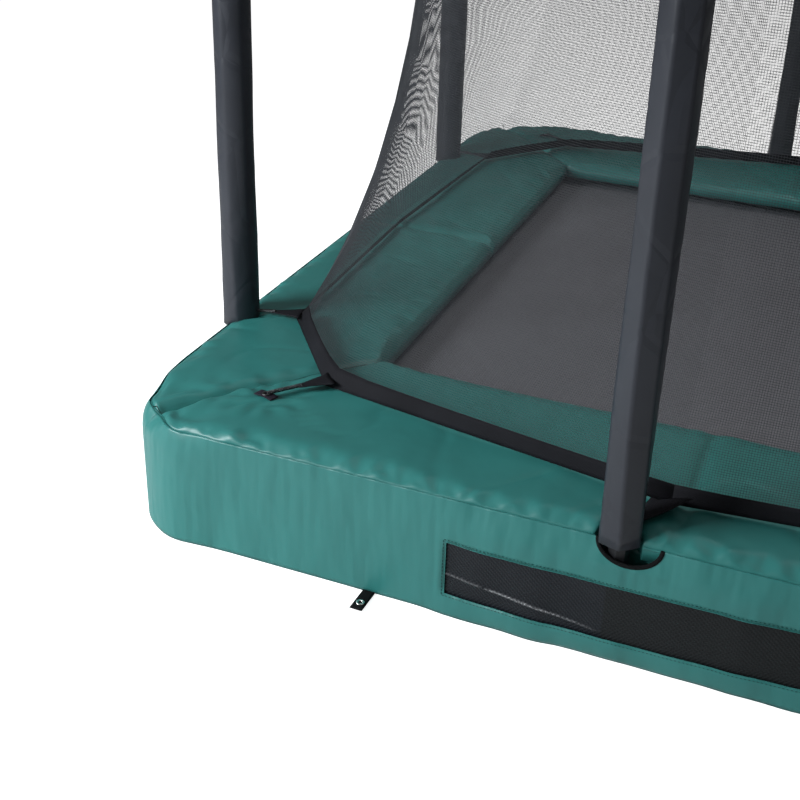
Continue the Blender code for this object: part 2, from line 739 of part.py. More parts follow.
def skirt_stations(side):
    """Places along the skirt, closer together where a pole pushes it out."""
    reach = SIDES[side][0] - CORNER_RADIUS
    steps = SIDE_SKIRT_STEPS if is_long(side) else END_SKIRT_STEPS
    stations = edge_stations(side, steps)
    places = {round(reach * (2 * step / steps - 1), 6) for step in range(steps + 1)}
    for sign in (-1, 1):
        middle = sign * pole_along(side)
        places = {a for a in places if abs(a - middle) > SKIRT_POLE_BULGE_REACH or abs(a) == reach}
        places |= {round(middle + SKIRT_POLE_BULGE_REACH * share, 6) for share in SKIRT_BULGE_SHARES}
    for tab in peg_tab_places(side):
        places = {a for a in places if abs(a - tab) > PEG_TAB_WIDTH}
        places |= {round(tab + sign * PEG_TAB_WIDTH, 6) for sign in (-1, 1)}
    places |= {-vent_reach(side), vent_reach(side)}
    straight = [(a, 0.0) for a in sorted(places)]
    return [s for s in stations if s[1] < 0] + straight + [s for s in stations if s[1] > 0]


def make_skirt(side):
    """The cloth that hangs from the seam, with its notches, window and peg tabs."""
    stations = skirt_stations(side)
    front = [[skirt_point(side, s, level, 0.0) for level in SKIRT_LEVELS] for s in stations]
    back = [[skirt_point(side, s, level, SKIRT_THICKNESS) for level in SKIRT_LEVELS] for s in stations]
    skirt = add_part(f"skirt_{side}", slab_mesh(f"skirt_{side}", front, back), GREEN_PVC, smooth=True)
    bm = bmesh.new()
    for sign in (-1, 1):
        add_notch(bm, side, sign * (pole_along(side) - NOTCH_SHIFT))
    combine(skirt, add_tool(f"notches_{side}", mesh_of("notches", bm)), "DIFFERENCE")
    reach = window_reach(side)
    low = (-reach, -POLE_INSET - SKIRT_POLE_BULGE - CUT_PAST, WINDOW_LOW)
    high = (reach, 0.0, WINDOW_HIGH)
    window = add_tool(f"window_{side}", box_mesh("window", low, high, pole_matrix(side, 0)))
    combine(skirt, window, "DIFFERENCE")
    join_peg_tabs(skirt, side)


def add_notch(bm, side, along):
    """A U-shaped cutter through the skirt's top edge in front of a pole."""
    matrix = pole_matrix(side, along)
    half = NOTCH_WIDTH / 2
    outline = [(-half, SEAM_HEIGHT + CUT_PAST)]
    for step in range(NOTCH_STEPS + 1):
        angle = math.pi * step / NOTCH_STEPS
        outline.append((-half * math.cos(angle), SEAM_HEIGHT - NOTCH_DEPTH * math.sin(angle)))
    outline.append((half, SEAM_HEIGHT + CUT_PAST))
    depths = (-POLE_INSET - SKIRT_POLE_BULGE - CUT_PAST, 0.0)
    add_prism(bm, [[matrix @ Vector((x, depth, z)) for x, z in outline] for depth in depths])


def peg_tab_places(side):
    from_corner = SIDE_PEG_TAB_FROM_CORNER if is_long(side) else END_PEG_TAB_FROM_CORNER
    reach = SIDES[side][0] - from_corner
    return (-reach, reach)


def add_peg_tab(bm, matrix, face):
    """A strip sewn to the skirt's back that turns out under the hem and lies on the ground."""
    sewn = face + SKIRT_THICKNESS / 2
    inner = face + SKIRT_THICKNESS + PEG_TAB_THICKNESS
    top = PEG_TAB_LIFT + PEG_TAB_THICKNESS
    outline = [(sewn, PEG_TAB_SEWN_HEIGHT), (inner, PEG_TAB_SEWN_HEIGHT), (inner, PEG_TAB_LIFT),
               (-PEG_TAB_REACH, PEG_TAB_LIFT), (-PEG_TAB_REACH, top), (sewn, top)]
    half = PEG_TAB_WIDTH / 2
    add_prism(bm, [[matrix @ Vector((x, y, z)) for y, z in outline] for x in (-half, half)])


def join_peg_tabs(skirt, side):
    """Tabs sewn inside the hem, each with an eyelet for a ground peg."""
    tabs, eyelets, holes = bmesh.new(), bmesh.new(), bmesh.new()
    for along in peg_tab_places(side):
        face = -skirt_flare(side, (along, 0.0), PEG_TAB_SEWN_HEIGHT)
        matrix = pole_matrix(side, along) @ Matrix.Translation((0, -POLE_INSET, 0))
        add_peg_tab(tabs, matrix, face)
        eyelet = matrix @ Vector((0, -PEG_EYELET_REACH, PEG_TAB_LIFT))
        top = eyelet + UP * (PEG_TAB_THICKNESS + PEG_EYELET_RISE)
        add_cylinder(eyelets, eyelet + UP * PEG_TAB_THICKNESS / 2, top, PEG_EYELET_RADIUS, 8)
        add_cylinder(holes, eyelet - UP * CUT_PAST, eyelet + UP * CUT_PAST, PEG_EYELET_HOLE, 8)
    combine(skirt, add_tool(f"peg_tabs_{side}", mesh_of("peg_tabs", tabs)), "UNION")
    combine(skirt, add_tool(f"peg_eyelets_{side}", mesh_of("peg_eyelets", eyelets)), "UNION")
    combine(skirt, add_tool(f"peg_holes_{side}", mesh_of("peg_holes", holes)), "DIFFERENCE")


def make_vent(side):
    """The mesh sheet behind a skirt's window."""
    depth = SKIRT_THICKNESS + CLEARANCE
    stations = [s for s in skirt_stations(side) if s[1] == 0.0 and abs(s[0]) <= vent_reach(side)]
    levels = (WINDOW_HIGH + WINDOW_MARGIN, SKIRT_LEVELS[2], WINDOW_LOW - WINDOW_MARGIN)
    front = [[skirt_point(side, s, level, depth) for level in levels] for s in stations]
    back = [[skirt_point(side, s, level, depth + VENT_THICKNESS) for level in levels] for s in stations]
    add_part(f"vent_{side}", slab_mesh(f"vent_{side}", front, back), BLACK_MESH)


# Safety net

def net_quarter():
    """Hem and top places from the zip to a short wall's middle, with steps to the next one."""
    zip_edge = LENGTH / 2 - ZIP_WIDTH / 2 - CLEARANCE
    straight = LENGTH / 2 - HEM_STRAIGHT_HALF
    side_top = (SIDE_POLE_FROM_CORNER, NET_TOP_INSET)
    end_top = (NET_TOP_INSET, END_POLE_FROM_CORNER)
    first = (Vector(HEM_CORNER_PULL) - Vector(HEM_SIDE_PULL)).length
    second = (Vector(HEM_END_PULL) - Vector(HEM_CORNER_PULL)).length
    corner_top = Vector(side_top).lerp(Vector(end_top), first / (first + second))
    return [
        ((zip_edge, HEM_SIDE_MIDDLE_INSET), (zip_edge, NET_TOP_INSET), 1),
        ((straight, HEM_SIDE_MIDDLE_INSET), (straight, NET_TOP_INSET), 3),
        (HEM_SIDE_PULL, side_top, 4),
        (HEM_CORNER_PULL, tuple(corner_top), 2),
        (HEM_END_PULL, end_top, 3),
        ((HEM_END_MIDDLE_INSET, WIDTH / 2), (NET_TOP_INSET, WIDTH / 2), 0),
    ]


def net_edges():
    """Hem and top points round the whole net, and the column where each panel starts."""
    quarter = net_quarter()
    plan = []
    marks = [0]
    for (hem, top, steps), (next_hem, next_top, _) in zip(quarter, quarter[1:]):
        for step in range(steps):
            share = step / steps
            low = Vector(hem).lerp(Vector(next_hem), share)
            plan.append((low, Vector(top).lerp(Vector(next_top), share)))
        marks.append(len(plan))
    plan.append((Vector(quarter[-1][0]), Vector(quarter[-1][1])))
    last = len(plan) - 1
    ring = []
    for corner, backwards in (("front_left", False), ("back_left", True),
                              ("back_right", False), ("front_right", True)):
        order = range(last, -1, -1) if backwards else range(last + 1)
        columns = [tuple(corner_place(corner, *flat, 0) for flat in plan[index]) for index in order]
        ring += columns[1:] if ring else columns
    return ring, marks, last


def net_levels():
    """Heights of the net's rows, from the hem's lower edge to the top edge."""
    shares = [0.0, HEM_HEIGHT / NET_HEIGHT, *NET_ROW_SHARES, 1 - HEM_HEIGHT / NET_HEIGHT, 1.0]
    return [HEM_LEVEL + NET_HEIGHT * share for share in shares]


def relax_net(ring, levels, held):
    """Lets the net draw itself in under its own tension, between its hem and its top edge."""
    hem = np.array([tuple(column[0].xy) for column in ring])
    top = np.array([tuple(column[1].xy) for column in ring])
    heights = np.array(levels)
    share = (heights - heights[0]) / (heights[-1] - heights[0])
    net = hem[None] * (1 - share)[:, None, None] + top[None] * share[:, None, None]
    hem_steps = np.linalg.norm(np.roll(hem, -1, 0) - hem, axis=1)
    top_steps = np.linalg.norm(np.roll(top, -1, 0) - top, axis=1)
    steps = np.maximum((hem_steps + top_steps) / 2, CLEARANCE)
    spacing = (steps + np.roll(steps, 1)) / 2
    rises = np.diff(heights)
    above = spacing[None] / rises[1:, None]
    below = spacing[None] / rises[:-1, None]
    ahead = NET_CROSS_TENSION * ((rises[1:] + rises[:-1]) / 2)[:, None] / steps[None]
    behind = np.roll(ahead, 1, axis=1)
    total = above + below + ahead + behind
    for _ in range(NET_RELAX_STEPS):
        pull = above[..., None] * net[2:] + below[..., None] * net[:-2]
        pull += ahead[..., None] * np.roll(net, -1, 1)[1:-1] + behind[..., None] * np.roll(net, 1, 1)[1:-1]
        moved = pull / total[..., None]
        moved[:, held] = net[1:-1][:, held]
        net[1:-1] = moved
    return net


def net_thickness(row, rows):
    return HEM_THICKNESS if row < 2 or row >= rows - 2 else NET_THICKNESS


def net_surfaces(net, levels):
    """Outer and inner points of the whole net, half a thickness either side of its middle."""
    rows, columns, _ = net.shape
    outer, inner = [], []
    for row in range(rows):
        ahead = np.roll(net[row], -1, 0) - net[row]
        behind = net[row] - np.roll(net[row], 1, 0)
        behind[0] = ahead[0]
        ahead[-1] = behind[-1]
        ahead /= np.linalg.norm(ahead, axis=1)[:, None]
        behind /= np.linalg.norm(behind, axis=1)[:, None]
        along = ahead + behind
        along /= np.linalg.norm(along, axis=1)[:, None]
        half = net_thickness(row, rows) / 2
        out_row, in_row = [], []
        for column in range(columns):
            normal = np.array((-along[column][1], along[column][0]))
            if normal @ net[row][column] < 0:
                normal = -normal
            point = net[row][column]
            out_row.append(Vector((*(point + normal * half), levels[row])))
            in_row.append(Vector((*(point - normal * half), levels[row])))
        outer.append(out_row)
        inner.append(in_row)
    return outer, inner


def panel_grid(surface, first, last):
    """A panel's columns of a net surface, its two outer ones drawn in by half the clearance."""
    grid = []
    for row in surface:
        points = [row[index].copy() for index in range(first, last + 1)]
        for end, neighbour in ((0, 1), (-1, -2)):
            way = (points[neighbour] - points[end]).normalized()
            points[end] += way * CLEARANCE * PANEL_GAP_SHARE
        grid.append(points)
    return grid


def hem_loop_points(hem, pole, pole_radius):
    """A cord from the hem round a pole and back, seen from above."""
    away = (pole - hem).normalized()
    across = Vector((-away.y, away.x, 0))
    reach = (pole_radius + CLEARANCE * 2 + HEM_CORD_RADIUS) / math.cos(math.pi / 2 / HEM_LOOP_STEPS)
    points = [hem + across * HEM_CORD_SPREAD / 2]
    for step in range(HEM_LOOP_STEPS + 1):
        angle = math.pi * (step / HEM_LOOP_STEPS - 0.5)
        points.append(pole + away * reach * math.cos(angle) - across * reach * math.sin(angle))
    points.append(hem - across * HEM_CORD_SPREAD / 2)
    return points


def make_net():
    """Panels of a coarse net: bars with openings between them, in place of its fine mesh."""
    ring, marks, last = net_edges()
    levels = net_levels()
    held = np.zeros(len(ring), dtype=bool)
    held[[0, -1]] = True
    net = relax_net(ring, levels, held)
    outer, inner = net_surfaces(net, levels)
    side_pull, _, end_pull = marks[2:5]
    count = 4 * last
    stops = {
        "net_front_left": (0, side_pull),
        "net_corner_front_left": (side_pull, end_pull),
        "net_left": (end_pull, 2 * last - end_pull),
        "net_corner_back_left": (2 * last - end_pull, 2 * last - side_pull),
        "net_back": (2 * last - side_pull, 2 * last + side_pull),
        "net_corner_back_right": (2 * last + side_pull, 2 * last + end_pull),
        "net_right": (2 * last + end_pull, count - end_pull),
        "net_corner_front_right": (count - end_pull, count - side_pull),
        "net_front_right": (count - side_pull, count),
    }
    open_rows = range(1, len(levels) - 2)
    for name, (first, end) in stops.items():
        grids = [panel_grid(surface, first, end) for surface in (outer, inner)]
        panel = add_part(name, slab_mesh(name, *grids, open_rows, NET_BAR / 2), NET_MESH, smooth=True)
        if "corner" in name:
            join_corner_cords(panel, name.replace("net_corner_", ""))


def join_corner_cords(panel, corner):
    """Elastic cords that pull a corner panel's hem to both poles and to the pad's eyelet."""
    end_pole = corner_place(corner, POLE_INSET, END_POLE_FROM_CORNER, CORD_LEVEL)
    side_pole = corner_place(corner, SIDE_POLE_FROM_CORNER, POLE_INSET, CORD_LEVEL)
    pulls = ((HEM_END_PULL, end_pole, HEM_CORNER_PULL), (HEM_SIDE_PULL, side_pole, HEM_CORNER_PULL))
    for index, (pull, pole, towards) in enumerate(pulls):
        hem = corner_place(corner, *pull, CORD_LEVEL)
        into_panel = (corner_place(corner, *towards, CORD_LEVEL) - hem).normalized()
        hem += into_panel * (HEM_CORD_SPREAD + 2 * HEM_CORD_RADIUS)
        points = hem_loop_points(hem, pole, POLE_RADIUS)
        mesh = tube_mesh("hem_cord", points, HEM_CORD_RADIUS, 6)
        combine(panel, add_tool(f"hem_cord_{corner}_{index}", mesh), "UNION")
    hem = corner_place(corner, *HEM_CORNER_PULL, CORD_LEVEL)
    eyelet = corner_place(corner, PAD_TAB_FROM_END, PAD_TAB_FROM_SIDE, CORD_LEVEL)
    tip = eyelet + (hem - eyelet).normalized() * PAD_TAB_WIDTH / 4
    mesh = tube_mesh("corner_cord", [hem, tip], HEM_CORD_RADIUS, 6)
    combine(panel, add_tool(f"corner_cord_{corner}", mesh), "UNION")


# Zip and buckle

def zip_matrix():
    """Local axes on the zip: X along the front, Y outwards, Z up the zip, from the hem."""
    hem = place("front", 0, HEM_SIDE_MIDDLE_INSET, HEM_LEVEL)
    top = place("front", 0, NET_TOP_INSET, NET_TOP)
    up = (top - hem).normalized()
    side = Vector((-1, 0, 0))
    matrix = Matrix.Identity(4)
    matrix.col[0] = (*side, 0)
    matrix.col[1] = (*up.cross(side), 0)
    matrix.col[2] = (*up, 0)
    matrix.col[3] = (*hem, 1)
    return matrix, (top - hem).length


def make_zip():
    """The taped zip that closes the entrance, with a stop at each end of its run."""
    matrix, length = zip_matrix()
    half = ZIP_THICKNESS / 2
    lean = half * matrix.col[1].z
    low = (-ZIP_WIDTH / 2, -half, abs(lean))
    high = (ZIP_WIDTH / 2, half, length - abs(lean))
    track = add_part("zip_track", box_mesh("zip_track", low, high, matrix), ZIP_TAPE)
    size = ZIP_STOP_SIZE
    bm = bmesh.new()
    for start in (ZIP_START - size, ZIP_START + ZIP_TRAVEL + SLIDER_LENGTH + 2 * CLEARANCE):
        add_box(bm, (-size / 2, 0, start), (size / 2, half + size / 2, start + size), matrix)
    combine(track, add_tool("zip_stops", mesh_of("zip_stops", bm)), "UNION")


def make_slider():
    """The zip's slider, resting on the lower stop, with two ears for its puller."""
    matrix, _ = zip_matrix()
    face = ZIP_THICKNESS / 2 + CLEARANCE
    start = ZIP_START + CLEARANCE
    low = (-SLIDER_WIDTH / 2, face, start)
    high = (SLIDER_WIDTH / 2, face + SLIDER_THICKNESS, start + SLIDER_LENGTH)
    slider = add_part("zip_slider", box_mesh("zip_slider", low, high, matrix), ZIP_METAL)
    pivot = slider_pivot()
    gap = PULLER_WIDTH / 2 + CLEARANCE
    bm = bmesh.new()
    for sign in (-1, 1):
        inner, outer = sign * gap, sign * (gap + SLIDER_EAR_WIDTH)
        low = (min(inner, outer), face + SLIDER_THICKNESS / 2, pivot.z - SLIDER_EAR_SIZE / 2)
        high = (max(inner, outer), pivot.y + SLIDER_EAR_SIZE / 2, pivot.z + SLIDER_EAR_SIZE / 2)
        add_box(bm, low, high, matrix)
    combine(slider, add_tool("slider_ears", mesh_of("slider_ears", bm)), "UNION")
    reach = gap + SLIDER_EAR_WIDTH + CUT_PAST
    ends = [matrix @ Vector((sign * reach, pivot.y, pivot.z)) for sign in (-1, 1)]
    pin_bore = (PULLER_PIN_RADIUS + CLEARANCE) / math.cos(math.pi / CUTTER_SIDES)
    bore = add_tool("slider_bore", cylinder_mesh("slider_bore", *ends, pin_bore, CUTTER_SIDES))
    combine(slider, bore, "DIFFERENCE")
    set_origin(slider, matrix @ pivot)


def slider_pivot():
    """The puller's pivot in the zip's local axes."""
    out = ZIP_THICKNESS / 2 + CLEARANCE + SLIDER_THICKNESS + SLIDER_EAR_SIZE / 2
    return Vector((0, out, ZIP_START + CLEARANCE + SLIDER_LENGTH * 0.7))


def make_puller():
    """The puller hangs straight down from its pin between the slider's ears."""
    matrix, _ = zip_matrix()
    pivot = matrix @ slider_pivot()
    reach = PULLER_WIDTH / 2 + CLEARANCE + SLIDER_EAR_WIDTH
    ends = [pivot + Vector((sign * reach, 0, 0)) for sign in (-1, 1)]
    pin = cylinder_mesh("zip_puller", *ends, PULLER_PIN_RADIUS, CUTTER_SIDES)
    puller = add_part("zip_puller", pin, ZIP_METAL)
    low = pivot + Vector((-PULLER_WIDTH / 2, -PULLER_THICKNESS / 2, -PULLER_LENGTH))
    high = pivot + Vector((PULLER_WIDTH / 2, PULLER_THICKNESS / 2, 0))
    combine(puller, add_tool("puller_blade", box_mesh("puller_blade", low, high)), "UNION")
    set_origin(puller, pivot)


def buckle_matrix():
    """Local axes at the buckle: X to its plug, Y outwards, Z up, on the hem's outer face."""
    matrix, _ = zip_matrix()
    lift = BUCKLE_LIFT + BUCKLE_HEIGHT / 2
    return matrix @ Matrix.Translation((0, HEM_THICKNESS / 2 + BUCKLE_STANDOFF, lift))


def make_buckle():
    """A side-release buckle across the hem under the zip: a socket and a sliding plug."""
    matrix = buckle_matrix()
    half = BUCKLE_HEIGHT / 2
    deep = BUCKLE_THICKNESS
    wall = BUCKLE_WALL
    mouth = BUCKLE_MOUTH
    low = (mouth - BUCKLE_SOCKET_LENGTH, 0, -half)
    socket_mesh = box_mesh("buckle_socket", low, (mouth, deep, half), matrix)
    socket = add_part("buckle_socket", socket_mesh, BUCKLE_PLASTIC)
    pocket_low = (mouth - BUCKLE_SOCKET_LENGTH + wall, wall, wall - half)
    pocket_high = (mouth + CUT_PAST, deep - wall, half - wall)
    pocket = box_mesh("pocket", pocket_low, pocket_high, matrix)
    combine(socket, add_tool("buckle_pocket", pocket), "DIFFERENCE")
    strap_high = (mouth - BUCKLE_SOCKET_LENGTH + wall / 2, BUCKLE_STRAP_THICKNESS, half - wall)
    strap_back = BUCKLE_STRAP_CLEARANCE - BUCKLE_STANDOFF
    strap_low = (mouth - BUCKLE_SOCKET_LENGTH - BUCKLE_STRAP_LENGTH, strap_back, wall - half)
    strap = add_tool("socket_strap", box_mesh("socket_strap", strap_low, strap_high, matrix))
    combine(socket, strap, "UNION")
    start = mouth + CLEARANCE
    low = (start, 0, -half)
    high = (start + BUCKLE_PLUG_LENGTH, deep, half)
    plug = add_part("buckle_plug", box_mesh("buckle_plug", low, high, matrix), BUCKLE_PLASTIC)
    bm = bmesh.new()
    prong = (half - wall - CLEARANCE) / 3
    tip = start - BUCKLE_PRONG_LENGTH
    for centre in (-2 * prong, 0.0, 2 * prong):
        low = (tip, wall + CLEARANCE, centre - prong / 2)
        high = (start + wall, deep - wall - CLEARANCE, centre + prong / 2)
        add_box(bm, low, high, matrix)
    strap_end = start + BUCKLE_PLUG_LENGTH
    low = (strap_end - wall, 0, wall - half)
    add_box(bm, low, (strap_end + BUCKLE_STRAP_LENGTH, BUCKLE_STRAP_THICKNESS, half - wall), matrix)
    combine(plug, add_tool("plug_prongs", mesh_of("plug_prongs", bm)), "UNION")
    set_origin(plug, matrix.translation)


# The whole trampoline

for side_name in SIDES:
    make_rail(side_name)
    make_leg(side_name)
    make_spring_row(side_name)
    make_pad(side_name)
    make_skirt(side_name)
    make_vent(side_name)
    for pole_name, pole_place in pole_names(side_name):
        make_pole(f"pole_{pole_name}", side_name, pole_place)
        make_sleeve(f"sleeve_{pole_name}", side_name, pole_place)
for corner_name in CORNERS:
    make_frame_corner(corner_name)
make_mat()
make_net()
make_zip()
make_slider()
make_puller()
make_buckle()
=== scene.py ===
# %% [markdown]
# # A rectangular garden trampoline with a padded cover and a safety net
#
# The steel frame, legs and poles come from the CAD part. Everything soft is made here: the foam-filled
# cover, the skirt that hangs from it, the woven net, the sleeves round the poles and the elastic cords.
# All lengths are in metres, and the origin lies on the ground under the middle of the trampoline.

# %% Load the CAD frame
import math

import bpy
import numpy as np
from mathutils import Matrix, Vector, noise


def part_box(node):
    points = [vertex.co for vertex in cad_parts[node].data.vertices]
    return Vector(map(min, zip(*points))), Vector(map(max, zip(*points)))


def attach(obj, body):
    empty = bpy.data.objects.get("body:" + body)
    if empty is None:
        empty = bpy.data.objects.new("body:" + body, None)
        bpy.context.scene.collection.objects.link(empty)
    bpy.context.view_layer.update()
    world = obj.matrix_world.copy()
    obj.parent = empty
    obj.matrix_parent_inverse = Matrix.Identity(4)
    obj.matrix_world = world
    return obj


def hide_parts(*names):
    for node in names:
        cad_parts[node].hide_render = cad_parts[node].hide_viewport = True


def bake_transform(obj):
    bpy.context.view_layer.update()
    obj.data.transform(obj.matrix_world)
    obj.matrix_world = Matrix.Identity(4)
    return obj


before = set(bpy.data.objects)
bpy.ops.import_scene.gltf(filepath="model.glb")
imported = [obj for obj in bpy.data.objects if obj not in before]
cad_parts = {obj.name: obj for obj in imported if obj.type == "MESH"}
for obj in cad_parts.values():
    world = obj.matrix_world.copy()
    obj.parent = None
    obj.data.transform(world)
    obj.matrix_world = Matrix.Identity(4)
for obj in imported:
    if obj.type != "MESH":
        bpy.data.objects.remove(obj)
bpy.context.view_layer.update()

# %% [markdown]
# ## Sizes
#
# The soft pieces have to meet the steel, so their places are read from the CAD nodes' boxes.
# Sizes that only the cloth has, such as folds and threads, are given here by name.

# %% Read the sizes from the frame
FRAME_INSET = 0.072


def middle(node):
    """The middle of a CAD node's box."""
    low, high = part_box(node)
    return (low + high) / 2


HALF_X = FRAME_INSET - middle("frame_rail_left").x
HALF_Y = FRAME_INSET - middle("frame_rail_front").y
SEAM_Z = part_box("skirt_front")[1].z
PAD_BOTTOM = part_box("pad_front")[0].z
HEM_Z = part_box("skirt_front")[0].z
SIDE_PAD = HALF_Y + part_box("pad_front")[1].y
END_PAD = HALF_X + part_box("pad_left")[1].x
MAT_Z = middle("jump_mat").z
MAT_X, MAT_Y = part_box("jump_mat")[1].xy
NET_LOW, NET_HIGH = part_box("net_left")[0].z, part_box("net_left")[1].z
SLEEVE_LOW, SLEEVE_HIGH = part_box("sleeve_left_front")[0].z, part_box("sleeve_left_front")[1].z
CORNER_RADIUS = 0.14
print("half plan", round(HALF_X, 3), round(HALF_Y, 3), "pads", round(SIDE_PAD, 3), round(END_PAD, 3))

# %% [markdown]
# Each side of the trampoline has its own axes: along the side, and outwards. A point on any side can
# then be given by its place along, its distance in from the skirt, and its height.

# %% Axes of the four sides
SIDES = {
    "front": (HALF_X, HALF_Y, Vector((1, 0, 0)), Vector((0, -1, 0))),
    "right": (HALF_Y, HALF_X, Vector((0, 1, 0)), Vector((1, 0, 0))),
    "back": (HALF_X, HALF_Y, Vector((-1, 0, 0)), Vector((0, 1, 0))),
    "left": (HALF_Y, HALF_X, Vector((0, -1, 0)), Vector((-1, 0, 0))),
}
POLES = {
    "front_left": "front", "front_right": "front", "right_front": "right", "right_back": "right",
    "back_right": "back", "back_left": "back", "left_back": "left", "left_front": "left",
}


def place(side, along, inset, height):
    """Points by place along a side, inset from the skirt and height; arrays or numbers."""
    _, across, tangent, outward = SIDES[side]
    along, inset, height = np.broadcast_arrays(along, inset, height)
    points = np.multiply.outer(along, np.array(tangent))
    points = points + np.multiply.outer(across - inset, np.array(outward))
    points[..., 2] = height
    return points


def pole_along(side):
    """Where a side's two poles stand along it."""
    tangent = SIDES[side][2]
    return sorted(middle(f"sleeve_{name}").dot(tangent) for name, of in POLES.items() if of == side)


print({side: [round(a, 3) for a in pole_along(side)] for side in SIDES})

# %% [markdown]
# ## Ways of making pieces
#
# A cloth piece starts as Blender's grid, whose points are moved onto the measured surface. Its UV map
# is the same cloth laid flat, in metres, so that a weave keeps its size however the cloth bends.

# %% Grids, tubes and their finishing
def select_only(*objects):
    """Selects these objects and nothing else."""
    bpy.ops.object.select_all(action="DESELECT")
    for item in objects:
        item.select_set(True)
    bpy.context.view_layer.objects.active = objects[0]


def flat_uv(piece, points):
    """Gives a grid the map of its cloth laid flat, in metres."""
    columns = points.shape[1]
    along = np.linalg.norm(np.diff(points, axis=1), axis=2).mean(0)
    across = np.linalg.norm(np.diff(points, axis=0), axis=2).mean(1)
    u = np.concatenate([[0.0], np.cumsum(along)])
    v = np.concatenate([[0.0], np.cumsum(across)])
    corners = np.empty(len(piece.data.loops), dtype=np.int32)
    piece.data.loops.foreach_get("vertex_index", corners)
    uv = np.stack([u[corners % columns], v[corners // columns]], axis=1)
    piece.data.uv_layers.active.data.foreach_set("uv", uv.reshape(-1).astype(np.float32))


def grid_piece(name, points):
    """A grid laid over a block of points: rows, columns, three coordinates."""
    rows, columns = points.shape[:2]
    bpy.ops.object.select_all(action="DESELECT")
    bpy.ops.mesh.primitive_grid_add(x_subdivisions=columns - 1, y_subdivisions=rows - 1, location=(0, 0, 0))
    piece = bpy.context.active_object
    piece.name = piece.data.name = name
    piece.data.vertices.foreach_set("co", points.reshape(-1).astype(np.float32))
    flat_uv(piece, points)
    piece.data.update()
    bpy.ops.object.shade_smooth()
    return piece


def face_away(piece, centre):
    """Turns an open sheet's faces so that they look away from a point."""
    count = len(piece.data.polygons)
    normals, centres = np.empty(count * 3), np.empty(count * 3)
    piece.data.polygons.foreach_get("normal", normals)
    piece.data.polygons.foreach_get("center", centres)
    away = centres.reshape(-1, 3) - np.array(centre)
    if (normals.reshape(-1, 3) * away).sum() < 0:
        select_only(piece)
        bpy.ops.object.mode_set(mode="EDIT")
        bpy.ops.mesh.select_all(action="SELECT")
        bpy.ops.mesh.flip_normals()
        bpy.ops.object.mode_set(mode="OBJECT")


def apply_modifier(piece, kind, **settings):
    """Adds a modifier, gives it its settings and applies it."""
    select_only(piece)
    modifier = piece.modifiers.new(kind.lower(), kind)
    for name, value in settings.items():
        setattr(modifier, name, value)
    bpy.ops.object.modifier_apply(modifier=modifier.name)


def thicken(piece, thickness):
    """Gives a sheet its thickness, inwards from its outer face."""
    apply_modifier(piece, "SOLIDIFY", thickness=thickness, offset=-1.0)


def curve_lines(name, lines, radius, resolution=2):
    """Round bars along lines of points, as one mesh."""
    curve = bpy.data.curves.new(name, "CURVE")
    curve.dimensions = "3D"
    curve.bevel_depth = radius
    curve.bevel_resolution = resolution
    curve.use_fill_caps = True
    for line in lines:
        spline = curve.splines.new("POLY")
        spline.points.add(len(line) - 1)
        homogeneous = np.ones((len(line), 4), dtype=np.float32)
        homogeneous[:, :3] = line
        spline.points.foreach_set("co", homogeneous.reshape(-1))
    piece = bpy.data.objects.new(name, curve)
    bpy.context.scene.collection.objects.link(piece)
    select_only(piece)
    bpy.ops.object.convert(target="MESH")
    piece = bpy.context.active_object
    piece.name = piece.data.name = name
    bpy.ops.object.shade_smooth()
    return piece


def join(name, *pieces):
    """Joins pieces into one object."""
    select_only(*pieces)
    if len(pieces) > 1:
        bpy.ops.object.join()
    piece = bpy.context.active_object
    piece.name = piece.data.name = name
    return piece


def finish_piece(piece, material, body, nodes=()):
    """Gives a piece its material, the body it moves with and the CAD nodes it stands for."""
    piece.data.materials.clear()
    piece.data.materials.append(material)
    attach(piece, body)
    if nodes:
        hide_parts(*nodes)
    return piece


def bumps(points, size, seed):
    """Smooth noise between about -1 and 1 at each point."""
    flat = points.reshape(-1, 3)
    shift = Vector((seed * 7.31, seed * 3.17, seed * 1.73))
    values = [noise.noise(Vector(point) / size + shift) for point in flat]
    return np.array(values).reshape(points.shape[:-1])


# %% [markdown]
# ## Shader building blocks
#
# Effects that several finishes share are node groups: a fine weave, creases in stiff cloth and slow
# changes of tone. A group only gives masks, colours and heights, and each material feeds them to its
# own shader.

# %% Node group helpers
def node(tree, kind, location, **settings):
    """Adds a node with its settings."""
    item = tree.nodes.new(kind)
    item.location = location
    for name, value in settings.items():
        setattr(item, name, value)
    return item


def math_node(tree, operation, first, second=None, location=(0, 0)):
    """A math node fed by sockets or numbers; gives its output."""
    item = node(tree, "ShaderNodeMath", location, operation=operation)
    for index, value in enumerate((first, second)):
        if value is None:
            continue
        if isinstance(value, (int, float)):
            item.inputs[index].default_value = value
        else:
            tree.links.new(value, item.inputs[index])
    return item.outputs[0]


def new_group(name, inputs, outputs):
    """An empty node group with its sockets: name, kind and starting value."""
    tree = bpy.data.node_groups.new(name, "ShaderNodeTree")
    for title, kind, value in inputs:
        socket = tree.interface.new_socket(title, in_out="INPUT", socket_type=kind)
        if value is not None:
            socket.default_value = value
    for title, kind in outputs:
        tree.interface.new_socket(title, in_out="OUTPUT", socket_type=kind)
    start = node(tree, "NodeGroupInput", (-900, 0))
    end = node(tree, "NodeGroupOutput", (700, 0))
    return tree, start, end


VECTOR, FLOAT, COLOUR = "NodeSocketVector", "NodeSocketFloat", "NodeSocketColor"
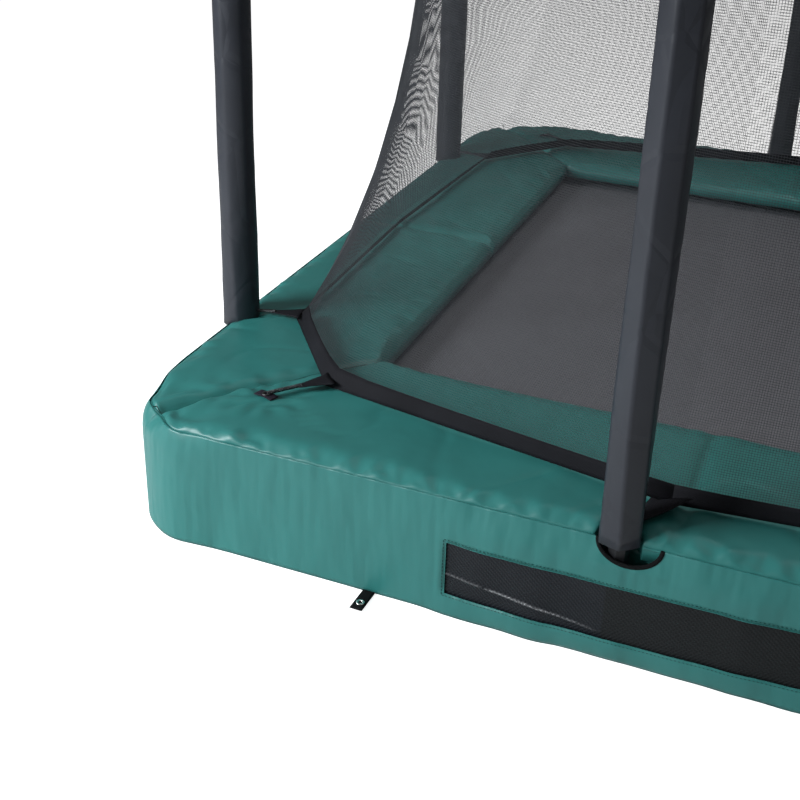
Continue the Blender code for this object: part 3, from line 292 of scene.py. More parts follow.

# %% [markdown]
# A plain weave is two sets of threads that pass over and under each other. The product of two sine
# waves gives its hills, and the same waves mask the gaps between threads, for painted shade there.

# %% The weave group
def build_weave():
    tree, start, end = new_group(
        "plain_weave", [("Vector", VECTOR, None), ("Pitch", FLOAT, 0.002)],
        [("Height", FLOAT), ("ShadedGaps", FLOAT)])
    parts = node(tree, "ShaderNodeSeparateXYZ", (-700, 0))
    tree.links.new(start.outputs["Vector"], parts.inputs[0])
    turns = math_node(tree, "DIVIDE", math.pi, start.outputs["Pitch"], (-700, -200))
    waves = []
    for index, axis in enumerate("XY"):
        angle = math_node(tree, "MULTIPLY", parts.outputs[axis], turns, (-500, -150 * index))
        waves.append(math_node(tree, "SINE", angle, None, (-340, -150 * index)))
    hills = math_node(tree, "MULTIPLY", waves[0], waves[1], (-160, 0))
    lifted = math_node(tree, "MULTIPLY_ADD", hills, 0.5, (0, 0))
    lifted.node.inputs[2].default_value = 0.5
    tree.links.new(lifted, end.inputs["Height"])
    squares = [math_node(tree, "POWER", math_node(tree, "ABSOLUTE", wave, None, (0, -300)), 0.5, (160, -300))
               for wave in waves]
    solid = math_node(tree, "MULTIPLY", squares[0], squares[1], (320, -300))
    tree.links.new(math_node(tree, "SUBTRACT", 1.0, solid, (480, -300)), end.inputs["ShadedGaps"])
    return tree


WEAVE = build_weave()

# %% [markdown]
# PVC-coated cloth keeps sharp creases from the way it was folded for its box. Bent Voronoi edges
# look like them: straight runs that meet in points, some strong and some faint.

# %% The crease and tone groups
def build_creases():
    tree, start, end = new_group(
        "creases", [("Vector", VECTOR, None), ("Scale", FLOAT, 6.0), ("Width", FLOAT, 0.06)],
        [("Height", FLOAT)])
    wobble = node(tree, "ShaderNodeTexNoise", (-700, -200))
    wobble.inputs["Scale"].default_value = 5.0
    tree.links.new(start.outputs["Vector"], wobble.inputs["Vector"])
    bend = node(tree, "ShaderNodeVectorMath", (-520, -100), operation="MULTIPLY_ADD")
    bend.inputs[1].default_value = (0.06, 0.06, 0.06)
    tree.links.new(wobble.outputs["Color"], bend.inputs[0])
    tree.links.new(start.outputs["Vector"], bend.inputs[2])
    cells = node(tree, "ShaderNodeTexVoronoi", (-340, 0), feature="DISTANCE_TO_EDGE")
    tree.links.new(bend.outputs[0], cells.inputs["Vector"])
    tree.links.new(start.outputs["Scale"], cells.inputs["Scale"])
    near = math_node(tree, "DIVIDE", cells.outputs["Distance"], start.outputs["Width"], (-160, 0))
    ridge = math_node(tree, "MINIMUM", near, 1.0, (0, 0))
    faint = node(tree, "ShaderNodeTexNoise", (-340, -350))
    faint.inputs["Scale"].default_value = 3.0
    tree.links.new(start.outputs["Vector"], faint.inputs["Vector"])
    strength = math_node(tree, "MULTIPLY", math_node(tree, "SUBTRACT", 1.0, ridge, (160, 0)),
                         faint.outputs["Fac"], (320, 0))
    tree.links.new(math_node(tree, "SUBTRACT", 1.0, strength, (480, 0)), end.inputs["Height"])
    return tree


def build_tone():
    tree, start, end = new_group(
        "tone", [("Vector", VECTOR, None), ("Scale", FLOAT, 3.0), ("Dark", COLOUR, None),
                 ("Light", COLOUR, None)], [("Color", COLOUR)])
    slow = node(tree, "ShaderNodeTexNoise", (-500, 0))
    slow.inputs["Detail"].default_value = 4.0
    slow.inputs["Roughness"].default_value = 0.55
    tree.links.new(start.outputs["Vector"], slow.inputs["Vector"])
    tree.links.new(start.outputs["Scale"], slow.inputs["Scale"])
    spread = node(tree, "ShaderNodeMapRange", (-300, 0))
    spread.inputs["From Min"].default_value = 0.3
    spread.inputs["From Max"].default_value = 0.7
    tree.links.new(slow.outputs["Fac"], spread.inputs["Value"])
    mix = node(tree, "ShaderNodeMix", (-100, 0), data_type="RGBA")
    tree.links.new(spread.outputs[0], mix.inputs["Factor"])
    tree.links.new(start.outputs["Dark"], mix.inputs[6])
    tree.links.new(start.outputs["Light"], mix.inputs[7])
    tree.links.new(mix.outputs[2], end.inputs["Color"])
    return tree


CREASES = build_creases()
TONE = build_tone()
print("groups", [group.name for group in bpy.data.node_groups])

# %% [markdown]
# ## Materials
#
# Every finish starts from a tone that changes slowly over the piece, then adds what its cloth or metal
# shows close up as a bump.

# %% Material helpers
class Finish:
    """A material under construction: its tree, shader and coordinates."""

    def __init__(self, name, roughness, metallic=0.0):
        self.material = bpy.data.materials.new(name)
        self.material.use_nodes = True
        self.tree = self.material.node_tree
        self.shader = self.tree.nodes["Principled BSDF"]
        self.shader.inputs["Roughness"].default_value = roughness
        self.shader.inputs["Metallic"].default_value = metallic
        self.coordinates = node(self.tree, "ShaderNodeTexCoord", (-1100, 0))
        self.vector = self.coordinates.outputs["Object"]
        self.normal = None

    def group(self, tree, location, source=None, **values):
        """Adds a group node on the coordinates, with its values."""
        item = node(self.tree, "ShaderNodeGroup", location, node_tree=tree)
        vector = self.coordinates.outputs[source] if source else self.vector
        self.tree.links.new(vector, item.inputs["Vector"])
        for name, value in values.items():
            item.inputs[name].default_value = value
        return item

    def tone(self, dark, light, scale):
        """Slow changes between two colours."""
        item = self.group(TONE, (-800, 200), Scale=scale, Dark=(*dark, 1), Light=(*light, 1))
        self.colour(item.outputs["Color"])

    def colour(self, socket):
        self.tree.links.new(socket, self.shader.inputs["Base Color"])

    def darken(self, mask, amount, location=(-400, 300)):
        """Multiplies the colour down where a mask is high."""
        source = self.shader.inputs["Base Color"].links[0].from_socket
        keep = math_node(self.tree, "MULTIPLY_ADD", mask, -amount, location)
        keep.node.inputs[2].default_value = 1.0
        mix = node(self.tree, "ShaderNodeVectorMath", (location[0] + 200, location[1]), operation="SCALE")
        self.tree.links.new(source, mix.inputs[0])
        self.tree.links.new(keep, mix.inputs["Scale"])
        self.colour(mix.outputs[0])

    def specular(self, level):
        self.shader.inputs["Specular IOR Level"].default_value = level

    def mix_in(self, colour, mask, location):
        """Turns the colour into another one where a mask is high."""
        mix = node(self.tree, "ShaderNodeMix", location, data_type="RGBA")
        self.tree.links.new(self.shader.inputs["Base Color"].links[0].from_socket, mix.inputs[6])
        mix.inputs[7].default_value = (*colour, 1)
        self.tree.links.new(mask, mix.inputs["Factor"])
        self.colour(mix.outputs[2])

    def bump(self, height, strength, distance, location=(-300, -300)):
        """Adds a bump on top of those before it."""
        item = node(self.tree, "ShaderNodeBump", location)
        item.inputs["Strength"].default_value = strength
        item.inputs["Distance"].default_value = distance
        self.tree.links.new(height, item.inputs["Height"])
        if self.normal:
            self.tree.links.new(self.normal, item.inputs["Normal"])
        self.normal = item.outputs[0]
        self.tree.links.new(self.normal, self.shader.inputs["Normal"])

    def noise(self, scale, detail, location=(-800, -300)):
        """A noise texture's value on the coordinates."""
        item = node(self.tree, "ShaderNodeTexNoise", location)
        item.inputs["Scale"].default_value = scale
        item.inputs["Detail"].default_value = detail
        self.tree.links.new(self.vector, item.inputs["Vector"])
        return item.outputs["Fac"]


# %% [markdown]
# The cover is PVC-coated polyester: a satin green skin with the weave of its base cloth just visible,
# and soft dents where the foam under it gives.

# %% Cover and sleeve PVC
def make_cover_material(name, hangs):
    finish = Finish(name, 0.40)
    finish.tone((0.028, 0.176, 0.166), (0.034, 0.204, 0.190), 2.2)
    finish.specular(0.45)
    dents = finish.noise(14.0, 2.0)
    finish.bump(dents, 0.35, 0.006)
    if hangs:
        stretch = node(finish.tree, "ShaderNodeMapping", (-1000, -900))
        stretch.inputs["Scale"].default_value = (1.0, 1.0, 0.22)
        finish.tree.links.new(finish.vector, stretch.inputs["Vector"])
        folds = node(finish.tree, "ShaderNodeTexNoise", (-800, -900))
        folds.inputs["Scale"].default_value = 11.0
        folds.inputs["Detail"].default_value = 3.0
        finish.tree.links.new(stretch.outputs[0], folds.inputs["Vector"])
        finish.bump(folds.outputs["Fac"], 0.75, 0.020, (-300, -900))
    creases = finish.group(CREASES, (-600, -500), Scale=5.0, Width=0.10)
    finish.bump(creases.outputs["Height"], 0.18, 0.003, (-300, -500))
    weave = finish.group(WEAVE, (-600, -700), source="UV", Pitch=0.0011)
    finish.bump(weave.outputs["Height"], 0.06, 0.0002, (-300, -700))
    return finish.material


def make_sleeve_material():
    finish = Finish("sleeve_pvc_cloth", 0.42)
    finish.tone((0.023, 0.026, 0.035), (0.033, 0.037, 0.049), 5.0)
    creases = finish.group(CREASES, (-600, -500), Scale=9.0, Width=0.08)
    finish.bump(creases.outputs["Height"], 0.35, 0.004, (-300, -500))
    finish.bump(finish.noise(60.0, 3.0), 0.12, 0.002, (-300, -700))
    return finish.material


COVER = make_cover_material("green_pvc_cloth", False)
SKIRT = make_cover_material("green_pvc_hanging", True)
SLEEVE = make_sleeve_material()

# %% [markdown]
# The jumping mat is a dense weave of flat polypropylene tapes that looks dark grey in the light, and the
# net is knitted from thin black yarn. Webbing, piping and straps are coarser and duller.

# %% Woven materials
def make_mat_material():
    finish = Finish("mat_weave", 0.62)
    finish.tone((0.162, 0.163, 0.182), (0.198, 0.198, 0.220), 1.6)
    weave = finish.group(WEAVE, (-600, -500), source="UV", Pitch=0.0042)
    # Painted shade: the colour is darkened in the gaps between the mat's tapes.
    finish.darken(weave.outputs["ShadedGaps"], 0.55)
    finish.bump(weave.outputs["Height"], 0.5, 0.0008, (-300, -500))
    return finish.material


def make_webbing_material(name, dark, light, pitch):
    finish = Finish(name, 0.72)
    finish.tone(dark, light, 9.0)
    weave = finish.group(WEAVE, (-600, -500), source="UV", Pitch=pitch)
    # Painted shade: the colour is darkened in the gaps between the webbing's threads.
    finish.darken(weave.outputs["ShadedGaps"], 0.35)
    finish.bump(weave.outputs["Height"], 0.6, 0.0007, (-300, -500))
    finish.specular(0.12)
    return finish.material


def make_yarn_material(name, dark, light):
    finish = Finish(name, 0.6)
    finish.tone(dark, light, 30.0)
    finish.bump(finish.noise(1500.0, 1.0), 0.3, 0.0002)
    return finish.material


MAT_CLOTH = make_mat_material()
HEM_WEBBING = make_webbing_material("hem_webbing", (0.0110, 0.0110, 0.0140), (0.0170, 0.0170, 0.0215), 0.0016)
PIPING = make_webbing_material("piping_tape", (0.006, 0.0065, 0.007), (0.010, 0.011, 0.012), 0.0012)
TAB_WEBBING = make_webbing_material("tab_webbing", (0.020, 0.016, 0.026), (0.032, 0.026, 0.040), 0.0014)
YARN = make_yarn_material("net_yarn", (0.032, 0.034, 0.041), (0.046, 0.050, 0.059))
STITCH = make_yarn_material("stitch_thread", (0.006, 0.055, 0.050), (0.010, 0.080, 0.072))

# %% [markdown]
# Cords are braided from dark and light yarn. Fine noise, cut at a level, gives the light flecks. The
# window's mesh gets a painted highlight along its packing fold, by a mask that is stored on its points.

# %% Cord, vent and zip materials
def make_cord_material():
    finish = Finish("elastic_cord", 0.6)
    finish.tone((0.012, 0.013, 0.015), (0.03, 0.032, 0.036), 60.0)
    flecks = finish.noise(420.0, 1.0, (-800, -500))
    shown = math_node(finish.tree, "GREATER_THAN", flecks, 0.62, (-600, -500))
    finish.mix_in((0.15, 0.16, 0.17), shown, (-200, 400))
    finish.bump(flecks, 0.5, 0.0008)
    return finish.material


def make_vent_material(name, dark, light, roughness):
    finish = Finish(name, roughness)
    finish.tone(dark, light, 4.0)
    weave = finish.group(WEAVE, (-600, -500), source="UV", Pitch=0.0036)
    # Painted shade: the colour is darkened in the gaps between the mesh's threads.
    finish.darken(weave.outputs["ShadedGaps"], 0.45)
    finish.bump(weave.outputs["Height"], 0.8, 0.0011, (-300, -500))
    finish.bump(finish.noise(9.0, 2.0), 0.4, 0.006, (-300, -700))
    finish.specular(0.25)
    # Painted highlight: light grey is mixed into the colour along the fold, where the crease catches the
    # light.
    fold_highlight = node(finish.tree, "ShaderNodeAttribute", (-800, 500), attribute_name="fold_highlight")
    flecks = finish.noise(420.0, 2.0, (-800, 700))
    specks = math_node(finish.tree, "POWER", flecks, 2.5, (-700, 700))
    shown = math_node(finish.tree, "MULTIPLY", fold_highlight.outputs["Fac"], specks, (-600, 600))
    shown = math_node(finish.tree, "MULTIPLY", shown, 2.6, (-500, 600))
    finish.mix_in((0.62, 0.63, 0.66), shown, (0, 500))
    return finish.material


CORD = make_cord_material()
VENT = make_vent_material("vent_weave", (0.008, 0.010, 0.014), (0.017, 0.020, 0.026), 0.34)
VENT_DARK = make_vent_material("vent_dark_weave", (0.008, 0.010, 0.011), (0.013, 0.015, 0.017), 0.5)

# %% [markdown]
# Galvanised tube has a patchwork of zinc crystals in slightly different greys. The poles are powder
# coated, which leaves a fine orange-peel surface.

# %% Metals and plastic
def make_steel(name, dark, light, roughness, scale, metallic=1.0):
    finish = Finish(name, roughness, metallic)
    finish.tone(dark, light, scale)
    cells = node(finish.tree, "ShaderNodeTexVoronoi", (-800, -300))
    cells.inputs["Scale"].default_value = scale * 4
    finish.tree.links.new(finish.vector, cells.inputs["Vector"])
    finish.bump(cells.outputs["Distance"], 0.08, 0.0006)
    finish.bump(finish.noise(scale * 30, 2.0, (-800, -500)), 0.10, 0.0004, (-300, -500))
    return finish.material


GALVANISED = make_steel("galvanised_steel", (0.42, 0.43, 0.44), (0.58, 0.59, 0.60), 0.42, 18.0)
POLE_COAT = make_steel("pole_coating", (0.014, 0.015, 0.017), (0.024, 0.025, 0.028), 0.45, 25.0, 0.2)
SPRING_STEEL = make_steel("spring_wire", (0.50, 0.50, 0.49), (0.66, 0.66, 0.64), 0.3, 40.0)
NICKEL = make_steel("nickel_eyelet", (0.62, 0.61, 0.58), (0.78, 0.77, 0.74), 0.22, 60.0)
DARK_METAL = make_steel("dark_metal", (0.05, 0.05, 0.053), (0.10, 0.10, 0.105), 0.36, 50.0, 0.9)
PLASTIC = make_steel("buckle_plastic", (0.012, 0.012, 0.013), (0.020, 0.020, 0.022), 0.42, 40.0, 0.0)
print("materials", len(bpy.data.materials))

# %% [markdown]
# ## The net
#
# The hem of the net is pulled outwards at a few points by cords, and its top hangs from the poles. In
# between, the stretched net draws itself in to a waist. 1500 rounds of moving every point to the balance
# of its neighbours' pulls find that shape.

# %% Hem and top lines of the net
HEM_PULLS = ((0.910, 0.101), (0.292, 0.218), (0.124, 0.440))
HEM_MIDDLES = (0.140, 0.104)
HEM_BAND = 0.028
NET_TOP_INSET = 0.067
STRAIGHT_HALF = 0.09
ZIP_HALF = 0.0153
LONG_POLE, END_POLE = 0.855, 0.424
CROSS_TENSION = 0.6
NET_ROWS = 15
NET_STEPS = (1, 6, 9, 5, 8)
CORNERS = {"front_left": (-1, -1), "front_right": (1, -1), "back_right": (1, 1), "back_left": (-1, 1)}


def corner_point(corner, from_end, from_side, height=0.0):
    """A point by its distances in from a corner's two skirts."""
    sign_x, sign_y = CORNERS[corner]
    return np.array([sign_x * (HALF_X - from_end), sign_y * (HALF_Y - from_side), height])


def net_quarter():
    """Hem and top places from the zip to a short wall's middle."""
    side_top = np.array([LONG_POLE, NET_TOP_INSET])
    end_top = np.array([NET_TOP_INSET, END_POLE])
    side_pull, corner_pull, end_pull = (np.array(pull) for pull in HEM_PULLS)
    first, second = np.linalg.norm(corner_pull - side_pull), np.linalg.norm(end_pull - corner_pull)
    corner_top = side_top + (end_top - side_top) * first / (first + second)
    stops = [
        ((HALF_X - ZIP_HALF, HEM_MIDDLES[0]), (HALF_X - ZIP_HALF, NET_TOP_INSET)),
        ((HALF_X - STRAIGHT_HALF, HEM_MIDDLES[0]), (HALF_X - STRAIGHT_HALF, NET_TOP_INSET)),
        (side_pull, side_top), (corner_pull, corner_top), (end_pull, end_top),
        ((HEM_MIDDLES[1], HALF_Y), (NET_TOP_INSET, HALF_Y)),
    ]
    plan, marks = [], [0]
    for (hem, top), (next_hem, next_top), steps in zip(stops, stops[1:], NET_STEPS):
        for share in np.arange(steps) / steps:
            plan.append((np.array(hem) * (1 - share) + np.array(next_hem) * share,
                         np.array(top) * (1 - share) + np.array(next_top) * share))
        marks.append(len(plan))
    plan.append((np.array(stops[-1][0]), np.array(stops[-1][1])))
    return plan, marks


def net_ring():
    """Hem and top points round the whole net, from the zip and back to it."""
    plan, marks = net_quarter()
    ring = []
    for corner, backwards in (("front_left", False), ("back_left", True),
                              ("back_right", False), ("front_right", True)):
        columns = [[corner_point(corner, *flat)[:2] for flat in pair] for pair in plan]
        columns = columns[::-1] if backwards else columns
        ring += columns[1:] if ring else columns
    return np.array(ring), marks, len(plan) - 1


ring, marks, quarter_steps = net_ring()
print("net columns", len(ring), "marks", marks)

# %% Let the net draw itself in
def relax(ring, heights, rounds=1500):
    """Moves each point to the balance of its neighbours' pulls; the zip's columns stay."""
    share = ((heights - heights[0]) / (heights[-1] - heights[0]))[:, None, None]
    net = ring[None, :, 0] * (1 - share) + ring[None, :, 1] * share
    hem_steps = np.linalg.norm(np.roll(ring[:, 0], -1, 0) - ring[:, 0], axis=1)
    top_steps = np.linalg.norm(np.roll(ring[:, 1], -1, 0) - ring[:, 1], axis=1)
    steps = np.maximum((hem_steps + top_steps) / 2, 0.0003)
    spacing = (steps + np.roll(steps, 1)) / 2
    rise = np.diff(heights)
    above, below = spacing[None] / rise[1:, None], spacing[None] / rise[:-1, None]
    ahead = CROSS_TENSION * ((rise[1:] + rise[:-1]) / 2)[:, None] / steps[None]
    behind = np.roll(ahead, 1, axis=1)
    total = (above + below + ahead + behind)[..., None]
    for _ in range(rounds):
        pull = above[..., None] * net[2:] + below[..., None] * net[:-2]
        pull += ahead[..., None] * np.roll(net, -1, 1)[1:-1] + behind[..., None] * np.roll(net, 1, 1)[1:-1]
        net[1:-1, 1:-1] = (pull / total)[:, 1:-1]
    return net


between_hems = np.linspace(NET_LOW + HEM_BAND, NET_HIGH - HEM_BAND, NET_ROWS)
heights = np.concatenate([[NET_LOW], between_hems, [NET_HIGH]])
relaxed = relax(ring, heights)
level_columns = np.broadcast_to(heights[:, None, None], (*relaxed.shape[:2], 1))
net_points = np.concatenate([relaxed, level_columns], axis=2)
print("net waist", net_points[len(heights) // 2, :, 0].min().round(3))

# %% [markdown]
# Real netting is mostly air, so each thread is modelled. The cross threads are 3.7 mm apart and
# thicker than the upright ones, which are 4.3 mm apart. Four-sided threads a few centimetres per step keep
# the face count low.

# %% Threads of the net, panel by panel
CROSS_PITCH = 0.0037
UPRIGHT_PITCH = 0.0043
CROSS_THREAD = 0.00033
UPRIGHT_THREAD = 0.00025
CORNER_GATHERING = 1.6
END_HEM_BAND = 0.011
side_mark, end_mark = marks[2], marks[4]
quarter, whole = quarter_steps, 4 * quarter_steps
PANELS = {
    "front_left": (0, side_mark),
    "corner_front_left": (side_mark, end_mark),
    "left": (end_mark, 2 * quarter - end_mark),
    "corner_back_left": (2 * quarter - end_mark, 2 * quarter - side_mark),
    "back": (2 * quarter - side_mark, 2 * quarter + side_mark),
    "corner_back_right": (2 * quarter + side_mark, 2 * quarter + end_mark),
    "right": (2 * quarter + end_mark, whole - end_mark),
    "corner_front_right": (whole - end_mark, whole - side_mark),
    "front_right": (whole - side_mark, whole),
}


def hem_height(name):
    """Height of a panel's hem band; the short walls only have a narrow one."""
    return END_HEM_BAND if name in ("left", "right") else HEM_BAND


def cross_threads(grid, hem):
    """Level threads, between the hem band and the top band."""
    levels = np.arange(heights[0] + hem - CROSS_PITCH, heights[-2] + CROSS_PITCH, CROSS_PITCH)
    lines = []
    for level in levels:
        row = min(np.searchsorted(heights, level) - 1, len(heights) - 2)
        share = (level - heights[row]) / (heights[row + 1] - heights[row])
        lines.append(grid[row] * (1 - share) + grid[row + 1] * share)
    return lines


def upright_threads(grid, gathered):
    """Threads from the hem to the top, evenly spread over the panel's columns; more where it's gathered."""
    lines = []
    for column in range(grid.shape[1] - 1):
        first, second = grid[:, column], grid[:, column + 1]
        width = np.linalg.norm(second[0] - first[0]) / 2 + np.linalg.norm(second[-1] - first[-1]) / 2
        count = max(1, round(width * gathered / UPRIGHT_PITCH))
        lines += [first * (1 - share) + second * share for share in np.arange(count) / count]
    return lines


netting = {}
for name, (first, last) in PANELS.items():
    grid = net_points[:, first:last + 1]
    across = curve_lines(f"cross_{name}", cross_threads(grid, hem_height(name)), CROSS_THREAD, 0)
    gathered = CORNER_GATHERING if "corner" in name else 1.0
    upright = curve_lines(f"upright_{name}", upright_threads(grid[1:-1], gathered), UPRIGHT_THREAD, 0)
    netting[name] = join(f"netting_{name}", across, upright)
    finish_piece(netting[name], YARN, "frame", [f"net_{name}"])
print("net threads", sum(len(piece.data.polygons) for piece in netting.values()) * 2, "triangles")

# %% [markdown]
# The hem and the top edge of the net are bound in black webbing. Both bands are ribbons that follow the
# net's own lines, 1.4 mm thick.

# %% Hem and top bands
BAND_LIFT = 0.0012
WEBBING_THICKNESS = 0.0014


def band(name, first, last, low_row, height):
    """A ribbon over part of the net's edge, standing just outside the threads."""
    low, high = net_points[low_row, first:last + 1], net_points[low_row + 1, first:last + 1]
    rows = np.stack([low * (1 - share) + high * share for share in np.linspace(0, height / HEM_BAND, 5)])
    away = rows[..., :2] / np.linalg.norm(rows[..., :2], axis=2, keepdims=True)
    rows = rows.copy()
    rows[..., :2] += away * BAND_LIFT
    ribbon = grid_piece(name, rows)
    face_away(ribbon, (0, 0, rows[0, 0, 2]))
    thicken(ribbon, WEBBING_THICKNESS)
    finish_piece(ribbon, HEM_WEBBING, "frame")
    length = np.linalg.norm(np.diff(rows[0], axis=0), axis=1).sum()
    return ribbon, length


for name, (first, last) in PANELS.items():
    hem, length = band(f"hem_band_{name}", first, last, 0, hem_height(name))
    top, length = band(f"top_band_{name}", first, last, -2, HEM_BAND)
print("bands", 2 * len(PANELS))

# %% [markdown]
# ## The cover
#
# Four pads lie over the frame and the springs, mitred at the corners like a picture frame. Foam gives
# each a soft crown. It rolls down to the outer seam, dips at the mitre seams, and its corners droop
# where the foam ends. A deep notch at each pole lets the pole through.

# %% Seam line and notches
NOTCH_HALF = 0.0465
NOTCH_SHIFT = 0.0175
NOTCH_FINE = 0.006
PAD_NOTCH = 0.031
PAD_NOTCH_HALF = 0.034
PAD_SETBACK = 0.0036
SKIRT_NOTCH = 0.033
SKIRT_STEP = 0.012
PAD_STEP = 0.0075
ROLL = 0.030
ROLL_RISE = 0.0105
INNER_ROLL = 0.013
INNER_DROP = 0.014
SEAM_DROP = 0.002
MITRE_VALLEY = 0.005
CORNER_VALLEY = 0.008
CLOTH_CAP = 0.0042
PAD_TAB = 0.214, 0.146


def notch_share(side, along, shift=NOTCH_SHIFT, half=NOTCH_HALF):
    """From 0 outside the pole notches to 1 in their middle, following half an ellipse."""
    share = np.zeros_like(along)
    for pole in pole_along(side):
        centre = pole - math.copysign(shift, pole)
        inside = np.clip(1 - ((along - centre) / half) ** 2, 0, None)
        share = np.maximum(share, np.sqrt(inside))
    return share


def edge_stations(side, spacing):
    """Arc centre and turn of points along a side, closer together round the notches and the corners."""
    reach = SIDES[side][0] - CORNER_RADIUS
    places = set(np.linspace(-reach, reach, int(2 * reach / spacing) + 1).round(5))
    for pole in pole_along(side):
        centre = pole - math.copysign(NOTCH_SHIFT, pole)
        places = {a for a in places if abs(a - centre) > NOTCH_HALF + NOTCH_FINE}
        steps = np.sin(np.linspace(-math.pi / 2, math.pi / 2, 17))
        places |= set((centre + NOTCH_HALF * steps).round(5))
        places |= set((pole + PAD_NOTCH_HALF * steps[::2]).round(4))
    straight = [(a, 0.0) for a in sorted(places)]
    turns = (math.pi / 4 - 0.002) * np.sin(np.linspace(0, math.pi / 2, 15))[1:]
    return np.array([(-reach, -t) for t in turns[::-1]] + straight + [(reach, t) for t in turns])


def edge_plan(stations, depth):
    """Along and inset of points at a depth behind the skirt's face; the depth may change by point."""
    radius = CORNER_RADIUS - depth
    return stations[:, 0] + radius * np.sin(stations[:, 1]), CORNER_RADIUS - radius * np.cos(stations[:, 1])


def corner_droop(points):
    """From 0 to 1 towards the cover's four outer corners."""
    corner = np.array([HALF_X - 0.02, HALF_Y - 0.02])
    away = np.linalg.norm(np.abs(points[..., :2]) - corner, axis=-1)
    share = np.clip(1 - away / 0.22, 0, 1)
    return share * share * (3 - 2 * share)


def corner_turn(points):
    """The angle of points round their corner's arc, from 0 to a quarter turn."""
    centre = np.array([HALF_X - CORNER_RADIUS, HALF_Y - CORNER_RADIUS])
    apart = np.abs(points[..., :2]) - centre
    return np.arctan2(apart[..., 1], apart[..., 0])


def seam_height(points):
    """Height of the outer seam: level, with a small droop and tucks at the corners."""
    droop = corner_droop(points)
    return SEAM_Z - SEAM_DROP - 0.009 * droop - 0.0035 * droop * np.sin(9 * corner_turn(points))


def seam_inset(points):
    """How far the skirt's cloth folds in over the edge: only at the corners, in tucks."""
    droop = corner_droop(points)
    return droop * (0.018 + 0.0065 * np.sin(7.5 * corner_turn(points) + 1.0))


def sharp_creases(points, size, seed, width=0.11):
    """Narrow lines, from 0 to 1, where smooth noise changes sign."""
    return np.clip(1 - np.abs(bumps(points, size, seed)) / width, 0, 1)


print("stations on the front", len(edge_stations("front", 0.02)))

# %% The pads' top surface
def pad_shares(width, count):
    """Shares across a pad, dense at both rolled edges."""
    edge = np.array([0, 0.1, 0.25, 0.45, 0.7, 1.0]) * ROLL / width
    inside = np.linspace(edge[-1], 1 - 0.025 / width, count)[1:]
    return np.concatenate([edge, inside, 1 - np.array([0.017, 0.010, 0.005, 0.0015, 0]) / width])


def mitre_distance(points):
    """Distance of points from the nearest mitre seam, seen from above."""
    start = np.array([HALF_X - 0.0423, HALF_Y - 0.0423])
    end = np.array([MAT_X - 0.047, MAT_Y - 0.075])
    way = (end - start) / np.linalg.norm(end - start)
    apart = np.abs(points[..., :2]) - start
    return np.abs(apart[..., 0] * way[1] - apart[..., 1] * way[0])


def fold_lines(side):
    """Places along a side where the pad was folded for its box."""
    return (0.0,) if side in ("left", "right") else (-0.47, 0.47)


def pad_surface(side):
    """The pad's top: rolled outer edge, crown, creases, mitre valleys and drooping corners."""
    width = SIDE_PAD if side in ("front", "back") else END_PAD
    other = END_PAD if side in ("front", "back") else SIDE_PAD
    half = SIDES[side][0]
    stations = edge_stations(side, PAD_STEP)
    over = seam_inset(place(side, *edge_plan(stations, 0.0), 0.0))
    along, inset = edge_plan(stations, PAD_SETBACK + over)
    notch = notch_share(side, along, 0.0, PAD_NOTCH_HALF) * PAD_NOTCH
    shares = pad_shares(width, 26)
    inner_along = along * (half - other - 0.0003) / along[-1]
    a = along[None] + (inner_along - along)[None] * shares[:, None]
    start = inset + notch
    b = start[None] + (width - start)[None] * shares[:, None]
    points = place(side, a, b, 0.0)
    outer = np.clip(shares * width / ROLL, 0, 1)[:, None]
    inner = np.clip((1 - shares) * width / INNER_ROLL, 0, 1)[:, None]
    rise = ROLL_RISE * np.sqrt(1 - (1 - outer) ** 2) - 0.002 * np.sin(math.pi * shares)[:, None]
    height = seam_height(points) + rise - INNER_DROP * (1 - np.sqrt(1 - (1 - inner) ** 2))
    valley = mitre_distance(points)
    from_corner = np.linalg.norm(np.abs(points[..., :2]) - np.array([HALF_X - 0.04, HALF_Y - 0.04]), axis=-1)
    pulled = np.clip(1.4 - from_corner / 0.24, 0, 1)
    depth = (MITRE_VALLEY + CORNER_VALLEY * pulled) * np.exp(-(valley / 0.006) ** 2)
    height -= depth * np.minimum(1, outer + 0.5)
    height += 0.006 * pulled * np.exp(-((valley - 0.018) / 0.008) ** 2) * outer
    for fold in fold_lines(side):
        height -= 0.0045 * np.exp(-((a - fold) / 0.009) ** 2) * np.sin(math.pi * shares)[:, None] ** 0.5
        height += 0.0018 * np.exp(-((np.abs(a - fold) - 0.03) / 0.018) ** 2) * outer
        if side in ("left", "right"):
            height -= 0.013 * np.exp(-((a - fold) / 0.010) ** 2) * np.clip(10 * shares - 7.4, 0, 1)[:, None]
    droop = corner_droop(points)
    height -= 0.013 * droop * outer
    points[..., 2] = height
    gathered = np.clip(1.6 - 0.9 * np.abs(bumps(points, 0.30, 2)) * 4, 0.25, 1.6)
    puckers = bumps(points * np.array([1, 1, 0]), 0.030, 3) * (1 - outer) * outer ** 0.5 * 4
    points[..., 2] += 0.0032 * puckers * gathered
    gathers = sharp_creases(points * np.array([1, 1, 0]), 0.028, 19, 0.30)
    points[..., 2] -= 0.0062 * gathers * (1 - outer) * outer ** 0.5 * gathered
    points[..., 2] += 0.0030 * bumps(points, 0.16, 5) * outer * inner
    points[..., 2] += 0.0014 * bumps(points, 0.05, 6) * outer * inner
    points[..., 2] -= 0.0022 * sharp_creases(points, 0.20, 7, 0.05) * outer * inner
    points[..., 2] -= 0.0075 * sharp_creases(points, 0.065, 8) * droop * outer
    tab = np.array([HALF_X, HALF_Y]) - PAD_TAB
    apart = np.abs(points[..., :2]) - tab
    away = np.linalg.norm(apart, axis=-1)
    rays = np.cos(9 * np.arctan2(apart[..., 1], apart[..., 0]) + 1.3)
    points[..., 2] += 0.0055 * rays * np.exp(-((away - 0.040) / 0.026) ** 2)
    return points


